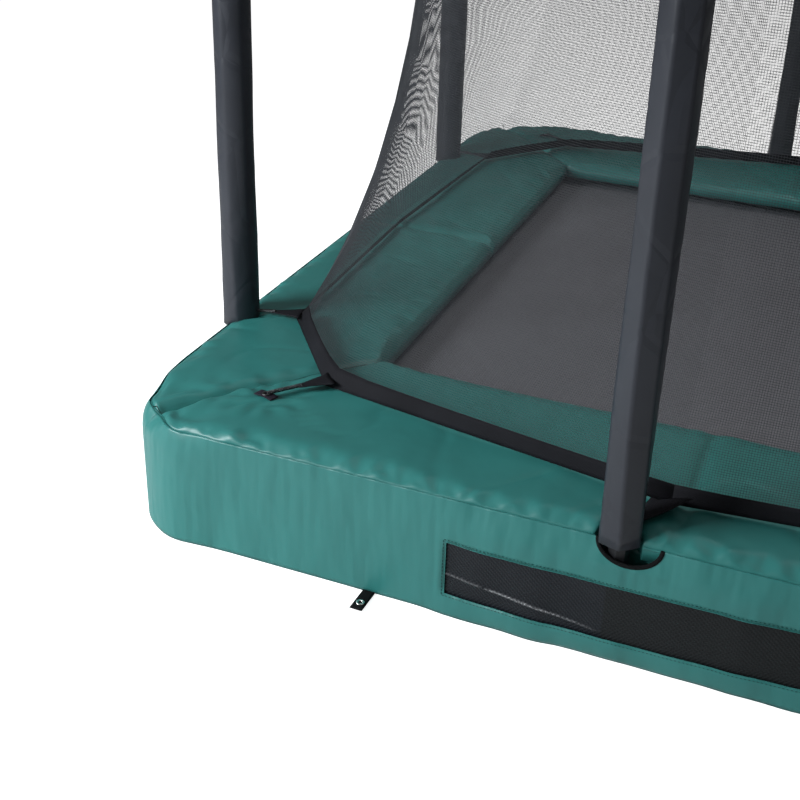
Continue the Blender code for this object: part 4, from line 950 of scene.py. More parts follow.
def close_downwards(piece, level):
    """Turns a pad's top into a closed body: its rim goes down to a flat underside."""
    select_only(piece)
    bpy.ops.object.mode_set(mode="EDIT")
    bpy.ops.mesh.select_all(action="SELECT")
    bpy.ops.mesh.region_to_loop()
    bpy.ops.mesh.extrude_region_move()
    bpy.ops.object.mode_set(mode="OBJECT")
    for vertex in piece.data.vertices:
        if vertex.select:
            vertex.co.z = level
    bpy.ops.object.mode_set(mode="EDIT")
    bpy.ops.mesh.edge_face_add()
    bpy.ops.mesh.select_all(action="SELECT")
    bpy.ops.mesh.normals_make_consistent(inside=False)
    bpy.ops.object.mode_set(mode="OBJECT")


# %% [markdown]
# Foam presses the cover's cloth outwards while its seams hold it. Blender's Cloth does the same: the
# rim is pinned, the cloth is cut two per cent too large, and a light pressure fills it. How far a point
# may move is capped, so the pad keeps its measured shape and only gains the cloth's own puckers.

# %% Cloth simulation of a pad
def read_points(piece):
    points = np.empty(len(piece.data.vertices) * 3, dtype=np.float32)
    piece.data.vertices.foreach_get("co", points)
    return points.reshape(-1, 3)


def puff(piece, columns, cap):
    """Fills a pinned sheet with a light pressure and keeps the cloth's folds up to a cap per point."""
    before = read_points(piece)
    rows = len(before) // columns
    index = np.arange(len(before)).reshape(rows, columns)
    rim = np.unique(np.concatenate([index[0], index[-1], index[:, 0], index[:, -1]]))
    group = piece.vertex_groups.new(name="seams")
    group.add([int(i) for i in rim], 1.0, "REPLACE")
    select_only(piece)
    cloth = piece.modifiers.new("cloth", "CLOTH")
    cloth.settings.vertex_group_mass = "seams"
    cloth.settings.use_pressure = True
    cloth.settings.uniform_pressure_force = 4.0
    cloth.settings.shrink_min = -0.02
    cloth.settings.effector_weights.gravity = 0.0
    cloth.collision_settings.use_collision = False
    for number in range(1, 21):
        bpy.context.scene.frame_set(number)
    bpy.ops.object.modifier_apply(modifier=cloth.name)
    bpy.context.scene.frame_set(1)
    moved = read_points(piece) - before
    length = np.linalg.norm(moved, axis=1, keepdims=True)
    capped = before + moved * np.minimum(1, cap[:, None] / np.maximum(length, 1e-9))
    piece.data.vertices.foreach_set("co", capped.reshape(-1))
    piece.data.update()
    piece.vertex_groups.clear()
    print(piece.name, "cloth moved up to", round(float(length.max()) * 1000, 1), "mm, kept", cap.max() * 1000)


# %% Make the four pads
for side in SIDES:
    surface = pad_surface(side)
    pad = grid_piece(f"cover_{side}", surface)
    face_away(pad, (0, 0, -5))
    cap = CLOTH_CAP * np.clip(mitre_distance(surface) / 0.03, 0.1, 1)
    puff(pad, surface.shape[1], cap.reshape(-1))
    apply_modifier(pad, "SUBSURF", levels=1, render_levels=1)
    close_downwards(pad, PAD_BOTTOM + 0.001)
    finish_piece(pad, COVER, "frame", [f"pad_{side}"])
    print(pad.name, len(pad.data.polygons), "faces")

# %% [markdown]
# ## The skirt
#
# The skirt is one layer of the same cloth, sewn under the cover's outer seam and hanging to the ground.
# Each side has a long window of black mesh, and its top edge follows the notches at the poles.

# %% Skirt surface
WINDOW_LOW, WINDOW_HIGH = 0.044, 0.140
WINDOW_FROM_CORNER = 0.60
TOP_SHARES = (0.12, 0.26, 0.4, 0.52, 0.62, 0.7, 0.77, 0.83, 0.88, 0.92, 0.96, 1.0)


def skirt_face(side, along, height):
    """How far the hanging cloth stands out: folds, and room for the poles."""
    half = SIDES[side][0]
    hanging = np.clip((SEAM_Z - height) / 0.04, 0, 1)
    straight = np.clip(1 - (np.abs(along) / (half - CORNER_RADIUS)) ** 8, 0, 1)
    wave = np.sin(2 * math.pi * 0.9 * along) ** 2
    out = 0.003 * straight * wave * np.clip(height / 0.15, 0, 1)
    for pole in pole_along(side):
        room = np.clip(1 - ((along - pole) / 0.34) ** 2, 0, 1) ** 2
        out = out + 0.0115 * room * np.clip(height / 0.03, 0, 1) ** 0.5
    return hanging * out


def skirt_points(side, stations, heights):
    """Points of the skirt for stations (columns) and heights (rows, or rows by columns)."""
    levels = np.broadcast_to(heights, (heights.shape[0], len(stations)))
    along, inset = edge_plan(stations, 0.0)
    flat = place(side, along[None], inset[None], levels)
    run = stations[:, 0] + CORNER_RADIUS * stations[:, 1]
    face = skirt_face(side, run[None], levels)
    swing = bumps(flat * np.array([1, 1, 0.30]), 0.24, 11) * 0.012
    swing += bumps(flat * np.array([1, 1, 0.18]), 0.075, 12) * 0.010
    loose = (swing + np.sqrt(swing ** 2 + 0.004 ** 2)) / 2
    loose = loose * np.clip((SEAM_Z - levels) / 0.05, 0, 1)
    for pole in pole_along(side):
        loose = loose * np.clip(np.abs(run - pole)[None] / 0.06 - 0.5, 0.25, 1)
    top = seam_height(flat)
    over = seam_inset(flat) * np.clip((levels - top + 0.030) / 0.030, 0, 1) ** 2
    waves = np.clip(bumps(flat * np.array([1, 1, 0]), 0.30, 14), 0, 1)
    lift = 0.006 * waves * np.clip(1 - levels / 0.04, 0, 1)
    along, inset = edge_plan(stations, over - face - loose)
    return place(side, along, inset, levels + lift)


def skirt_grid(side):
    """Rows from the hem to the seam; the rows over the window close up towards the notch's edge."""
    stations = edge_stations(side, SKIRT_STEP)
    window = SIDES[side][0] - WINDOW_FROM_CORNER
    for edge in (-window, window):
        nearest = np.abs(stations[:, 0] + 10 * (stations[:, 1] != 0) - edge).argmin()
        stations[nearest, 0] = edge
    along, inset = edge_plan(stations, 0.0)
    top = seam_height(place(side, along, inset, 0.0)) - SKIRT_NOTCH * notch_share(side, along)
    low = np.array([HEM_Z, 0.008, 0.014, 0.022, 0.033, WINDOW_LOW, 0.060, 0.080, 0.100, 0.120, WINDOW_HIGH])
    rows = [np.full(len(along), level) for level in low]
    rows += [WINDOW_HIGH + (top - WINDOW_HIGH) * share for share in TOP_SHARES]
    return stations, np.array(rows)


def cut_window(piece, columns, side, stations):
    """Removes the faces inside the window."""
    window = SIDES[side][0] - WINDOW_FROM_CORNER
    select_only(piece)
    bpy.ops.object.mode_set(mode="EDIT")
    bpy.ops.mesh.select_all(action="DESELECT")
    bpy.ops.mesh.select_mode(type="FACE")
    bpy.ops.object.mode_set(mode="OBJECT")
    inside = (stations[:-1, 0] >= -window - 1e-6) & (stations[1:, 0] <= window + 1e-6)
    inside &= (stations[:-1, 1] == 0) & (stations[1:, 1] == 0)
    for face in piece.data.polygons:
        row, column = divmod(face.index, columns - 1)
        face.select = bool(5 <= row < 10 and inside[column])
    bpy.ops.object.mode_set(mode="EDIT")
    bpy.ops.mesh.delete(type="FACE")
    bpy.ops.object.mode_set(mode="OBJECT")


# %% Make the four skirts
for side in SIDES:
    stations, rows = skirt_grid(side)
    points = skirt_points(side, stations, rows)
    skirt = grid_piece(f"hanging_{side}", points)
    cut_window(skirt, points.shape[1], side, stations)
    face_away(skirt, (0, 0, 0.1))
    thicken(skirt, 0.0010)
    finish_piece(skirt, SKIRT, "frame", [f"skirt_{side}"])
    length = np.linalg.norm(np.diff(points[0], axis=0), axis=1).sum()

# %% Seam welt and notch piping
def seam_welt(side):
    """The raised seam between cover and skirt, in the runs between the notches."""
    stations = edge_stations(side, SKIRT_STEP)
    over = seam_inset(place(side, *edge_plan(stations, 0.0), 0.0))
    along, inset = edge_plan(stations, over + PAD_SETBACK - 0.0012)
    open_here = notch_share(side, along, 0.0, PAD_NOTCH_HALF) > 1e-6
    line = place(side, along, inset, 0.0)
    line[:, 2] = seam_height(line) - 0.0032
    runs, run = [], []
    for point, gap in zip(line, open_here):
        if gap:
            runs, run = (runs + [run] if run else runs), []
        else:
            run.append(point)
    return [np.array(run) for run in runs + [run] if len(run) > 1]


def notch_piping(side):
    """The black tape bound round each notch's edge."""
    lines = []
    for pole in pole_along(side):
        centre = pole - math.copysign(NOTCH_SHIFT, pole)
        angles = np.linspace(0, math.pi, 25)
        along = centre - NOTCH_HALF * np.cos(angles)
        height = SEAM_Z - SEAM_DROP - SKIRT_NOTCH * np.sin(angles)
        out = skirt_face(side, along, height)
        lines.append(place(side, along, -out + 0.0008, height))
    return lines


def window_edge(side):
    """The folded edge of the cloth round the window."""
    window = SIDES[side][0] - WINDOW_FROM_CORNER
    run, rise = np.linspace(-window, window, 150), np.linspace(WINDOW_LOW, WINDOW_HIGH, 8)
    lines = []
    for level in (WINDOW_LOW, WINDOW_HIGH):
        stations = np.stack([run, np.zeros(len(run))], axis=1)
        lines.append(skirt_points(side, stations, np.array([[level]]))[0])
    for end in (-window, window):
        lines.append(skirt_points(side, np.array([[end, 0.0]]), rise[:, None])[:, 0])
    return lines


def notch_lining(side):
    """Cloth that hangs inside each notch, behind the pole."""
    pieces = []
    for number, pole in enumerate(pole_along(side)):
        centre = pole - math.copysign(NOTCH_SHIFT, pole)
        angles = np.linspace(0.05, math.pi - 0.05, 25)
        along = centre - (NOTCH_HALF + 0.001) * np.cos(angles)
        inset = 0.004 + (PAD_NOTCH - 0.003) * np.sin(angles)
        levels = np.linspace(PAD_BOTTOM, 0.14, 5)[:, None]
        lean = 0.10 * (PAD_BOTTOM - levels)
        piece = grid_piece(f"lining_{side}_{number}", place(side, along[None], inset[None] - lean, levels))
        face_away(piece, place(side, centre, 0.2, 0.17))
        thicken(piece, 0.0008)
        pieces.append(piece)
    return join(f"notch_lining_{side}", *pieces)


for side in SIDES:
    lining = notch_lining(side)
    finish_piece(lining, COVER, "frame")
    welt = curve_lines(f"seam_welt_{side}", seam_welt(side), 0.0018, 1)
    finish_piece(welt, COVER, "frame")
    piping = curve_lines(f"notch_piping_{side}", notch_piping(side), 0.0034, 2)
    finish_piece(piping, PIPING, "frame")
    edge = curve_lines(f"window_edge_{side}", window_edge(side), 0.0006, 1)
    finish_piece(edge, COVER, "frame")
print("welts and piping on", len(SIDES), "sides")

# %% [markdown]
# Behind each window a strip of black mesh is sewn to the skirt's back.

# %% Window mesh
VENT_END = 0.258
WINDOW_MARGIN = 0.012


def fold_level(from_end):
    """Height of the packing fold in the mesh, by distance from the window's end."""
    return 0.0815 - 0.06 * from_end - 0.19 * from_end ** 2


def mark_fold_highlight(sheet, side, reach):
    """Stores how strongly each point shows the painted highlight along the mesh's fold."""
    points = read_points(sheet)
    from_end = reach - np.abs(points @ np.array(SIDES[side][2]))
    near = np.exp(-((points[:, 2] - fold_level(from_end)) / 0.0015) ** 2)
    strength = np.interp(from_end, [0.012, 0.068, 0.070, 0.080, 0.084, 0.125, 0.24, VENT_END],
                         [0.30, 0.35, 0.0, 0.0, 0.9, 0.8, 0.22, 0.0])
    fold_highlight = sheet.data.attributes.new("fold_highlight", "FLOAT", "POINT")
    fold_highlight.data.foreach_set("value", (near * strength).astype(np.float32))


for side in SIDES:
    reach = SIDES[side][0] - WINDOW_FROM_CORNER + WINDOW_MARGIN
    stations = np.stack([np.linspace(-reach, reach, 240), np.zeros(240)], axis=1)
    levels = np.linspace(WINDOW_LOW - WINDOW_MARGIN, WINDOW_HIGH + WINDOW_MARGIN, 81)[:, None]
    points = skirt_points(side, stations, levels)
    inwards = np.array(SIDES[side][3]) * 0.0016
    from_end = reach - np.abs(stations[None, :, 0])
    ridge = 1.1 * np.exp(-((levels - fold_level(from_end)) / 0.004) ** 2) * (from_end < VENT_END)
    creased = 0.5 * bumps(points * np.array([1, 1, 2.0]), 0.06, 21) - ridge
    sheet = grid_piece(f"window_mesh_{side}", points - inwards * (1.6 + creased[..., None]))
    face_away(sheet, (0, 0, 0.1))
    thicken(sheet, 0.0006)
    mark_fold_highlight(sheet, side, reach)
    finish_piece(sheet, VENT, "frame", [f"vent_{side}"])
    sheet.data.materials.append(VENT_DARK)
    tangent = SIDES[side][2]
    for face in sheet.data.polygons:
        face.material_index = int(abs(face.center.dot(tangent)) < reach - VENT_END)
print("window meshes", len(SIDES))

# %% [markdown]
# ## Pole sleeves
#
# Each pole stands in a foam tube under a sewn PVC sleeve. The foam is six-sided, so the sleeve has
# soft ridges. It is modelled once at the origin, and each pole gets its own turned copy.

# %% Make a sleeve and copy it to the poles
SLEEVE_SAG = 0.026
END_POLE_SWELL = 1.05


def sleeve_points(turn, seed, flatness):
    """A six-sided tube with rounded ridges, a slight twist and creases."""
    levels = np.linspace(SLEEVE_LOW - SLEEVE_SAG, SLEEVE_HIGH, 80)
    angles = np.linspace(0, 2 * math.pi, 49)
    share = (levels - SLEEVE_LOW) / (SLEEVE_HIGH - SLEEVE_LOW)
    twist = np.radians(20 * np.exp(-8 * share.clip(0)) - 10)[:, None]
    radius = 0.0322 + 0.0012 * np.exp(-share * 14)
    sector = (angles[None] + np.zeros((80, 1))) % (math.pi / 3) - math.pi / 6
    flat = np.cos(math.pi / 6) / np.cos(sector)
    shape = radius[:, None] * (flatness * flat + 1 - flatness)
    turned = angles[None] + twist + turn
    points = np.stack([shape * np.sin(turned), -shape * np.cos(turned),
                       np.broadcast_to(levels[:, None], shape.shape)], axis=2)
    swell = 1 + 0.055 * bumps(points * np.array([1, 1, 0.22]), 0.05, seed)
    swell *= 1 + 0.018 * bumps(points, 0.035, seed + 1)
    points[..., :2] *= swell[..., None]
    points[:, -1] = points[:, 0]
    return points


def close_round(piece):
    """Joins the first and last columns of a rolled-up grid."""
    select_only(piece)
    bpy.ops.object.mode_set(mode="EDIT")
    bpy.ops.mesh.select_all(action="SELECT")
    bpy.ops.mesh.remove_doubles(threshold=0.00001)
    bpy.ops.object.mode_set(mode="OBJECT")


for index, name in enumerate(POLES):
    at_end = name.startswith(("left", "right"))
    shape = sleeve_points(math.radians(3 * (index % 3)), 30 + 5 * index, 0.35 if at_end else 0.80)
    if at_end:
        shape[..., :2] *= END_POLE_SWELL
    sleeve = grid_piece(f"sleeve_cover_{name}", shape)
    close_round(sleeve)
    spot = middle(f"sleeve_{name}")
    sleeve.data.transform(Matrix.Translation((spot.x, spot.y, 0)))
    face_away(sleeve, (spot.x, spot.y, 1.0))
    thicken(sleeve, 0.0016)
    finish_piece(sleeve, SLEEVE, "frame", [f"sleeve_{name}"])
print("sleeves", len(POLES))

# %% [markdown]
# ## The jumping mat and its springs
#
# The mat is a flat woven sheet. It hangs in steel springs that run under the cover from the frame to
# rings on the mat's edge.

# %% Mat
mat_u = np.linspace(-MAT_X, MAT_X, 41)
mat_v = np.linspace(-MAT_Y, MAT_Y, 29)
mat_points = np.stack([*np.meshgrid(mat_u, mat_v), np.full((29, 41), MAT_Z + 0.0015)], axis=2)
mat = grid_piece("woven_mat", mat_points)
face_away(mat, (0, 0, -1))
thicken(mat, 0.003)
finish_piece(mat, MAT_CLOTH, "mat", ["jump_mat"])
print("mat", round(2 * MAT_X, 3), "by", round(2 * MAT_Y, 3))

# %% Springs
SPRING_COIL = 0.0062
SPRING_WIRE = 0.0013
SPRING_PITCH = 0.14


def spring_line(start, end, turns=16):
    """A closed coil between two hooks, as one line of points."""
    start, end = np.array(start), np.array(end)
    way = (end - start) / np.linalg.norm(end - start)
    flat = np.array([-way[1], way[0], 0.0])
    up = np.array([0.0, 0.0, 1.0])
    shares = np.linspace(0.16, 0.84, turns * 10)
    angles = np.linspace(0, 2 * math.pi * turns, turns * 10)
    coil = start + np.outer(shares, end - start)
    coil += SPRING_COIL * (np.outer(np.sin(angles), flat) + np.outer(np.cos(angles), up))
    return np.concatenate([[start], coil, [end]])


def spring_places(side):
    """Evenly spaced places along a side, as on the frame's rail."""
    half = SIDES[side][0] - max(0.272, HALF_X - MAT_X + 0.007)
    gaps = int(2 * half / SPRING_PITCH)
    return [gaps * SPRING_PITCH * (index / gaps - 0.5) for index in range(gaps + 1)]


for side in SIDES:
    mat_inset = HALF_X - MAT_X
    lines = [spring_line(place(side, a, FRAME_INSET + 0.0215, MAT_Z),
                         place(side, a, mat_inset - 0.006, MAT_Z)) for a in spring_places(side)]
    coils = curve_lines(f"spring_coils_{side}", lines, SPRING_WIRE, 0)
    coils.data.materials.append(SPRING_STEEL)
    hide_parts(f"springs_{side}")
    place(side, 0.0, FRAME_INSET, MAT_Z)
    place(side, 0.0, mat_inset, MAT_Z)
    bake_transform(coils)
    edge = [place(side, np.linspace(-1, 1, 3) * (SIDES[side][0] - mat_inset), mat_inset, MAT_Z + 0.0005)]
    rim = curve_lines(f"mat_edge_{side}", edge, 0.0032, 1)
    finish_piece(rim, HEM_WEBBING, "mat")
print("springs", sum(len(spring_places(side)) for side in SIDES))

# %% [markdown]
# ## Cords and eyelets
#
# Elastic cords pull the net's hem out to the end poles and to eyelet tabs that are sewn on the pads.

# %% Tabs with eyelets
CORD_Z = NET_LOW + 0.0025


def cover_height(x, y):
    """Height of the cover's top at a place, from a ray cast straight down."""
    heights = [bpy.data.objects[f"cover_{side}"].ray_cast(Vector((x, y, 1)), Vector((0, 0, -1)))
               for side in SIDES]
    return max([spot.z for hit, spot, _, _ in heights if hit], default=float(SEAM_Z))


def lay_on_cover(points, lift):
    """Raises points that would lie lower than the cover's top plus a lift."""
    laid = points.copy()
    flat = laid.reshape(-1, 3)
    for index, (x, y, z) in enumerate(flat):
        flat[index, 2] = max(z, cover_height(x, y) + lift)
    return laid


def mitre_line(corner):
    """The stitched line at the bottom of a mitre's valley, from the outer corner to the mat."""
    line = np.linspace(corner_point(corner, 0.050, 0.050),
                       corner_point(corner, END_PAD - 0.02, SIDE_PAD - 0.02), 60)
    return lay_on_cover(line, 0.0001)


def eyelet(name, spot, radius, up):
    """A pressed metal ring."""
    bpy.ops.mesh.primitive_torus_add(major_radius=radius, minor_radius=radius * 0.42, major_segments=20,
                                     minor_segments=8, location=(0, 0, 0))
    ring = bpy.context.active_object
    ring.name = name
    ring.data.transform(Matrix.Translation(spot) @ Matrix.Diagonal((1, 1, up, 1)))
    bpy.ops.object.shade_smooth()
    return ring


def pad_tab(corner):
    """A folded webbing tab on the pad, near the end of the mitre seam, with its eyelet."""
    sign_x, sign_y = CORNERS[corner]
    along, across = np.meshgrid(np.linspace(-0.021, 0.019, 12), np.linspace(-0.0095, 0.0095, 6))
    rise = 0.0032 * np.cos(along / 0.021 * 1.4)
    turn = math.radians(-16) * sign_x * sign_y
    x = along * math.cos(turn) - across * math.sin(turn)
    y = along * math.sin(turn) + across * math.cos(turn)
    spot = corner_point(corner, *PAD_TAB)
    spot[2] = cover_height(spot[0], spot[1]) + 0.002
    tab = grid_piece(f"pad_tab_{corner}", lay_on_cover(np.stack([x, y, rise], axis=2) + spot, 0.0022))
    face_away(tab, (spot[0], spot[1], 0))
    thicken(tab, 0.0012)
    finish_piece(tab, TAB_WEBBING, "frame")
    ring = eyelet(f"pad_eyelet_{corner}", Vector(spot) + Vector((0, 0, 0.0042)), 0.0056, 0.7)
    finish_piece(ring, DARK_METAL, "frame")


def ground_tabs(side):
    """Webbing tabs that lie on the ground outside the hem, each with an eyelet for a peg."""
    from_corner = 0.472 if side in ("front", "back") else 0.72
    for number, sign in enumerate((-1, 1)):
        centre = sign * (SIDES[side][0] - from_corner)
        out = np.array([0.022, 0.010, 0.0, -0.009, -0.018, -0.027, -0.036, -0.045, -0.0545])
        height = np.array([0.0030, 0.0028, 0.0028, 0.0032, 0.0040, 0.0046, 0.0050, 0.0054, 0.0066])
        across = np.linspace(-0.0105, 0.0105, 5)
        points = place(side, centre + across[None], out[:, None], height[:, None])
        tab = grid_piece(f"ground_tab_{side}_{number}", points)
        face_away(tab, (0, 0, -0.5))
        thicken(tab, WEBBING_THICKNESS)
        finish_piece(tab, PIPING, "frame")
        spot = Vector(place(side, centre, -0.036, 0.0056))
        ring = eyelet(f"ground_eyelet_{side}_{number}", spot, 0.0052, 0.7)
        finish_piece(ring, NICKEL, "frame")


seams = curve_lines("mitre_seams", [mitre_line(corner) for corner in CORNERS], 0.0010, 1)
finish_piece(seams, STITCH, "frame")
for corner in CORNERS:
    pad_tab(corner)
for side in SIDES:
    ground_tabs(side)
print("tabs", 4 + 8)

# %% [markdown]
# At the long sides' poles a flat strap takes the place of the cord. It goes from the hem under the
# sleeve to the pole.

# %% Straps at the side poles
def strap(corner, pole):
    """A flat webbing strap from the hem's side pull to the pole."""
    hem = corner_point(corner, *HEM_PULLS[0], NET_LOW + 0.010)
    post = np.array([pole.x, pole.y, CORD_Z - 0.001])
    way = (post - hem) / np.linalg.norm(post - hem)
    across = np.array([-way[1], way[0], 0.0])
    shares = np.linspace(0.0, 0.80, 14)[:, None, None]
    widths = np.linspace(-1, 1, 7)[None, :, None] * (0.011 + 0.024 * np.clip(1 - shares / 0.7, 0, 1))
    points = hem + (post - hem) * shares + across * widths
    points[..., 2] += 0.006 * (widths[..., 0] / 0.011) * (1 - shares[..., 0])
    piece = grid_piece(f"hem_strap_{corner}", lay_on_cover(points, 0.0022))
    face_away(piece, (hem[0], hem[1], 0))
    thicken(piece, WEBBING_THICKNESS)
    finish_piece(piece, HEM_WEBBING, "frame")


for corner in CORNERS:
    strap(corner, middle(f"sleeve_{corner}"))
print("straps", len(CORNERS))


def ear(corner, number, target):
    """A webbing ear on the hem that tapers to the cord's end."""
    hem = corner_point(corner, *HEM_PULLS[number], NET_LOW + 0.012)
    way = target - hem
    way = way / np.linalg.norm(way)
    across = np.array([-way[1], way[0], 0.0]) / math.hypot(way[0], way[1])
    shares = np.linspace(0, 1, 8)[:, None, None]
    widths = np.linspace(-1, 1, 6)[None, :, None] * (0.023 - 0.018 * shares ** 0.7)
    points = hem + way * (0.060 * shares - 0.010) + across * widths
    piece = grid_piece(f"hem_ear_{corner}_{number}", lay_on_cover(points, 0.0024))
    face_away(piece, (hem[0], hem[1], 0))
    thicken(piece, 0.0016)
    finish_piece(piece, HEM_WEBBING, "frame")
    return hem + way * 0.044

# %% [markdown]
# The cloth round each window is held by a row of stitches in a darker green thread, one every 5.8 mm.
# Short bars just above the cloth show as the dashed lines that sewing leaves.

# %% Stitches
STITCH_MARGIN = 0.0042
STITCH_STEP = 0.0058


def stitch_row(side, along, level):
    """Dashes along a line on the skirt given by its place along and its height."""
    lines = []
    for number in range(len(along) - 1):
        pair = []
        for share in (0.22, 0.66):
            a = along[number] * (1 - share) + along[number + 1] * share
            z = level[number] * (1 - share) + level[number + 1] * share
            station = np.array([[a, 0.0]])
            pair.append(skirt_points(side, station, np.array([[z]]))[0, 0])
        lines.append(np.array(pair) + np.array(SIDES[side][3]) * 0.0005)
    return lines


def dashes(start, end):
    """Places of the stitches between two ends."""
    return np.linspace(start, end, max(2, int(abs(end - start) / STITCH_STEP)))


for side in SIDES:
    window = SIDES[side][0] - WINDOW_FROM_CORNER + STITCH_MARGIN
    level_low, level_high = WINDOW_LOW - STITCH_MARGIN, WINDOW_HIGH + STITCH_MARGIN
    run = dashes(-window, window)
    rise = dashes(level_low, level_high)
    lines = []
    for level in (level_high, level_low):
        lines += stitch_row(side, run, np.full(len(run), level))
    for end in (-window, window):
        lines += stitch_row(side, np.full(len(rise), end), rise)
    stitches = curve_lines(f"stitches_{side}", lines, 0.0007, 0)
    finish_piece(stitches, STITCH, "frame")
print("stitches", len(lines), "on the last side")

# %% [markdown]
# At each corner one elastic cord runs from an ear on the hem to the end pole, and a second one from the
# corner's ear to the eyelet tab. Both are 7 mm thick and lie on the cover where they cross it.

# %% Corner cords
CORNER_POLES = {"front_left": "left_front", "front_right": "right_front",
                "back_right": "right_back", "back_left": "left_back"}
CORD_RADIUS = 0.0035


def cord_line(start, end):
    """A taut cord that rests on the cover."""
    return lay_on_cover(np.linspace(start, end, 24), 0.0036)


for corner, end_pole in CORNER_POLES.items():
    pole = middle(f"sleeve_{end_pole}")
    post = np.array([pole.x, pole.y, CORD_Z + 0.002])
    tab = corner_point(corner, 0.216, 0.146)
    tab[2] = cover_height(tab[0], tab[1]) + 0.008
    cords = [cord_line(ear(corner, 2, post), post), cord_line(ear(corner, 1, tab), tab)]
    cords = [curve_lines(f"hem_cord_{corner}_{number}", [line], CORD_RADIUS)
             for number, line in enumerate(cords)]
    cords = join(f"hem_cords_{corner}", *cords)
    finish_piece(cords, CORD, "frame")
print("corner cords", len(CORNER_POLES))

# %% [markdown]
# ## The entrance zip
#
# The zip closes the front wall in its middle. Its tape is a black ribbon, sewn to the net on both sides,
# with two rows of moulded teeth. One tooth is modelled and an Array modifier repeats it.

# %% Zip tape and teeth
TOOTH_PITCH = 0.0032
zip_foot = np.array([0, HEM_MIDDLES[0] - HALF_Y, NET_LOW])
zip_head = np.array([0, NET_TOP_INSET - HALF_Y, NET_HIGH])
zip_length = float(np.linalg.norm(zip_head - zip_foot))
zip_way = (zip_head - zip_foot) / zip_length
zip_out = np.array([0, -zip_way[2], zip_way[1]])


def zip_tape():
    """The ribbon behind the teeth."""
    rise = np.linspace(0.002, zip_length - 0.002, 60)[:, None, None]
    across = np.linspace(-0.0148, 0.0148, 7)[None, :, None]
    points = zip_foot + zip_way * rise + np.array([1.0, 0, 0]) * across
    tape = grid_piece("zip_tape", points + zip_out * 0.0006)
    face_away(tape, (0, 0, 1))
    thicken(tape, 0.0012)
    return tape


def tooth_row(number):
    """One row of teeth, half a pitch from the other."""
    bpy.ops.mesh.primitive_cube_add(size=1, location=(0, 0, 0))
    row = bpy.context.active_object
    row.name = f"zip_teeth_{number}"
    row.data.transform(Matrix.Diagonal((0.0040, 0.0026, 0.0019, 1)))
    row.data.transform(Matrix.Rotation(math.atan2(-zip_way[1], zip_way[2]), 4, "X"))
    start = zip_foot + zip_way * (0.062 + number * TOOTH_PITCH / 2)
    row.data.transform(Matrix.Translation(Vector(start) + Vector((0.0012 * (2 * number - 1), 0, 0))))
    count = int((zip_length - 0.10) / TOOTH_PITCH)
    apply_modifier(row, "ARRAY", count=count, use_relative_offset=False, use_constant_offset=True,
                   constant_offset_displace=tuple(zip_way * TOOTH_PITCH))
    return row


tape = finish_piece(zip_tape(), HEM_WEBBING, "frame", ["zip_track"])
teeth = finish_piece(join("zip_teeth", tooth_row(0), tooth_row(1)), PLASTIC, "frame")
print("zip", round(zip_length, 3), "m long,", len(teeth.data.polygons), "faces of teeth")

# %% [markdown]
# ## Steel of the frame
#
# The rails, corner tubes, legs and poles are the CAD pieces themselves, with their finishes.

# %% Finishes on the CAD pieces
CAD_FINISHES = {"frame_": GALVANISED, "leg_": GALVANISED, "pole_": POLE_COAT, "zip_slider": DARK_METAL,
                "zip_puller": DARK_METAL, "buckle_": PLASTIC}
for name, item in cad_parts.items():
    for start, material in CAD_FINISHES.items():
        if name.startswith(start):
            item.data.materials.clear()
            item.data.materials.append(material)
print("CAD pieces kept", sum(not item.hide_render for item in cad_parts.values()))

# %% [markdown]
# ## Studio
#
# The trampoline stands on a white floor in front of a white background. The key light comes from the
# camera's left, rather low, so that the skirt is brighter than the cover. A weaker one fills the front,
# and a large one hangs above.

# %% Floor and background
def make_floor_material():
    finish = Finish("studio_floor", 0.8)
    finish.tone((0.80, 0.80, 0.80), (0.82, 0.82, 0.82), 0.4)
    finish.specular(0.0)
    finish.shader.inputs["Emission Color"].default_value = (1, 1, 1, 1)
    rays = node(finish.tree, "ShaderNodeLightPath", (-500, -600))
    parts = node(finish.tree, "ShaderNodeSeparateXYZ", (-900, -800))
    finish.tree.links.new(finish.vector, parts.inputs[0])
    reach = []
    for axis, half in (("X", HALF_X), ("Y", HALF_Y)):
        size = math_node(finish.tree, "ABSOLUTE", parts.outputs[axis], None, (-700, -800))
        reach.append(math_node(finish.tree, "SUBTRACT", size, half - 0.05, (-560, -800)))
    beyond = math_node(finish.tree, "MAXIMUM", *reach, (-400, -800))
    outside = math_node(finish.tree, "GREATER_THAN", beyond, 0.0, (-250, -800))
    glow = math_node(finish.tree, "MULTIPLY", rays.outputs["Is Camera Ray"], outside, (-250, -600))
    glow = math_node(finish.tree, "MULTIPLY", glow, 0.86, (-100, -600))
    # Painted shade: inside the trampoline's footprint the floor's colour is darkened almost to black.
    under = math_node(finish.tree, "SUBTRACT", 1.0, outside, (-250, -1000))
    finish.darken(under, 0.97)
    finish.tree.links.new(glow, finish.shader.inputs["Emission Strength"])
    return finish.material


bpy.ops.mesh.primitive_plane_add(size=60, location=(0, 0, 0))
floor = bpy.context.active_object
floor.name = "studio_floor"
floor.data.materials.append(make_floor_material())

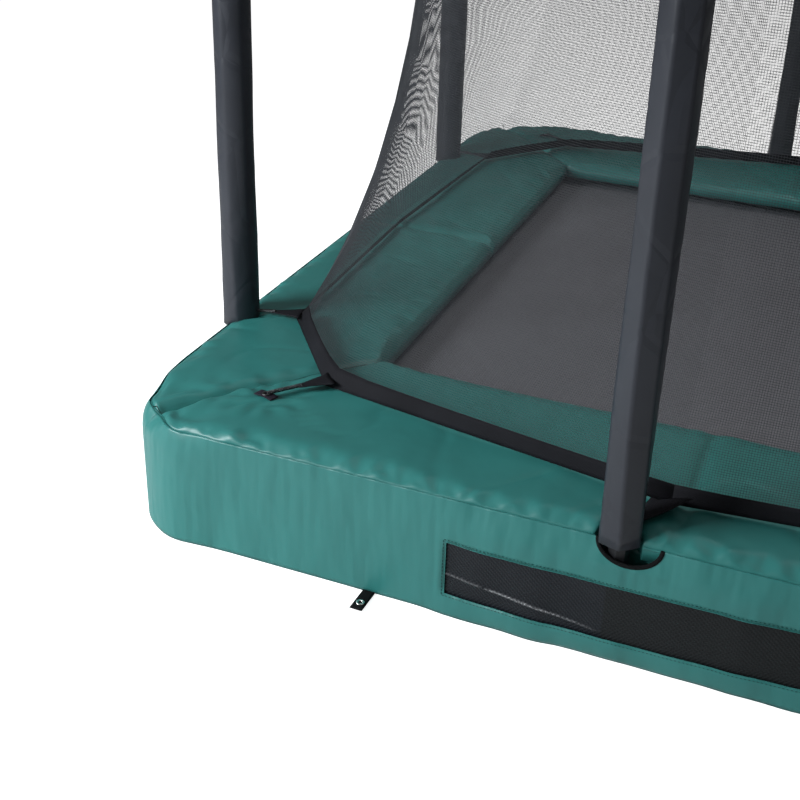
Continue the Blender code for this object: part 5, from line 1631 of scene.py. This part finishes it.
world = bpy.data.worlds.new("studio")
bpy.context.scene.world = world
world.use_nodes = True
background = world.node_tree.nodes["Background"]
rays = node(world.node_tree, "ShaderNodeLightPath", (-600, 0))
seen = math_node(world.node_tree, "MAXIMUM", rays.outputs["Is Camera Ray"],
                 rays.outputs["Is Transmission Ray"], (-400, 0))
strength = math_node(world.node_tree, "MULTIPLY_ADD", seen, 0.86, (-200, 0))
strength.node.inputs[2].default_value = 0.14
background.inputs["Color"].default_value = (1, 1, 1, 1)
world.node_tree.links.new(strength, background.inputs["Strength"])


# %% Lights
def area_light(name, position, target, size, power, spread=180, colour=(1, 1, 1)):
    """A square soft light that faces a target; a grid in front of it narrows its spread."""
    data = bpy.data.lights.new(name, "AREA")
    data.size = size
    data.energy = power
    data.spread = math.radians(spread)
    data.color = colour
    lamp = bpy.data.objects.new(name, data)
    bpy.context.scene.collection.objects.link(lamp)
    lamp.location = position
    lamp.rotation_euler = (Vector(target) - Vector(position)).to_track_quat("-Z", "Y").to_euler()


area_light("key", (-3.6, -3.0, 2.05), (-1.35, -0.9, 0.15), 1.6, 37, 76, (0.94, 0.98, 1.0))
area_light("front_fill", (-2.6, -5.6, 1.6), (-0.8, -1.0, 0.2), 3.0, 15)
area_light("top", (0.3, 0.8, 4.8), (0.1, 0.2, 0.2), 3.6, 72, colour=(1.0, 0.985, 0.97))

# %% [markdown]
# ## Camera
#
# The camera's place and turn follow from the perspective of the cover's edges and the upright poles.

# %% Camera
camera_data = bpy.data.cameras.new("camera")
camera_data.sensor_width = 36.0
camera_data.lens = 53.84
camera_data.shift_y = -0.0875
camera = bpy.data.objects.new("camera", camera_data)
bpy.context.scene.collection.objects.link(camera)
turn = Matrix((
    (0.92478, -0.18496, 0.33252),
    (0.37968, 0.39142, -0.83823),
    (0.02488, 0.90143, 0.43220),
))
camera.matrix_world = Matrix.Translation((-0.3265, -2.4318, 1.2108)) @ turn.to_4x4()
camera_data.clip_start = 0.05
bpy.context.scene.camera = camera
bpy.context.scene.view_settings.view_transform = "Standard"
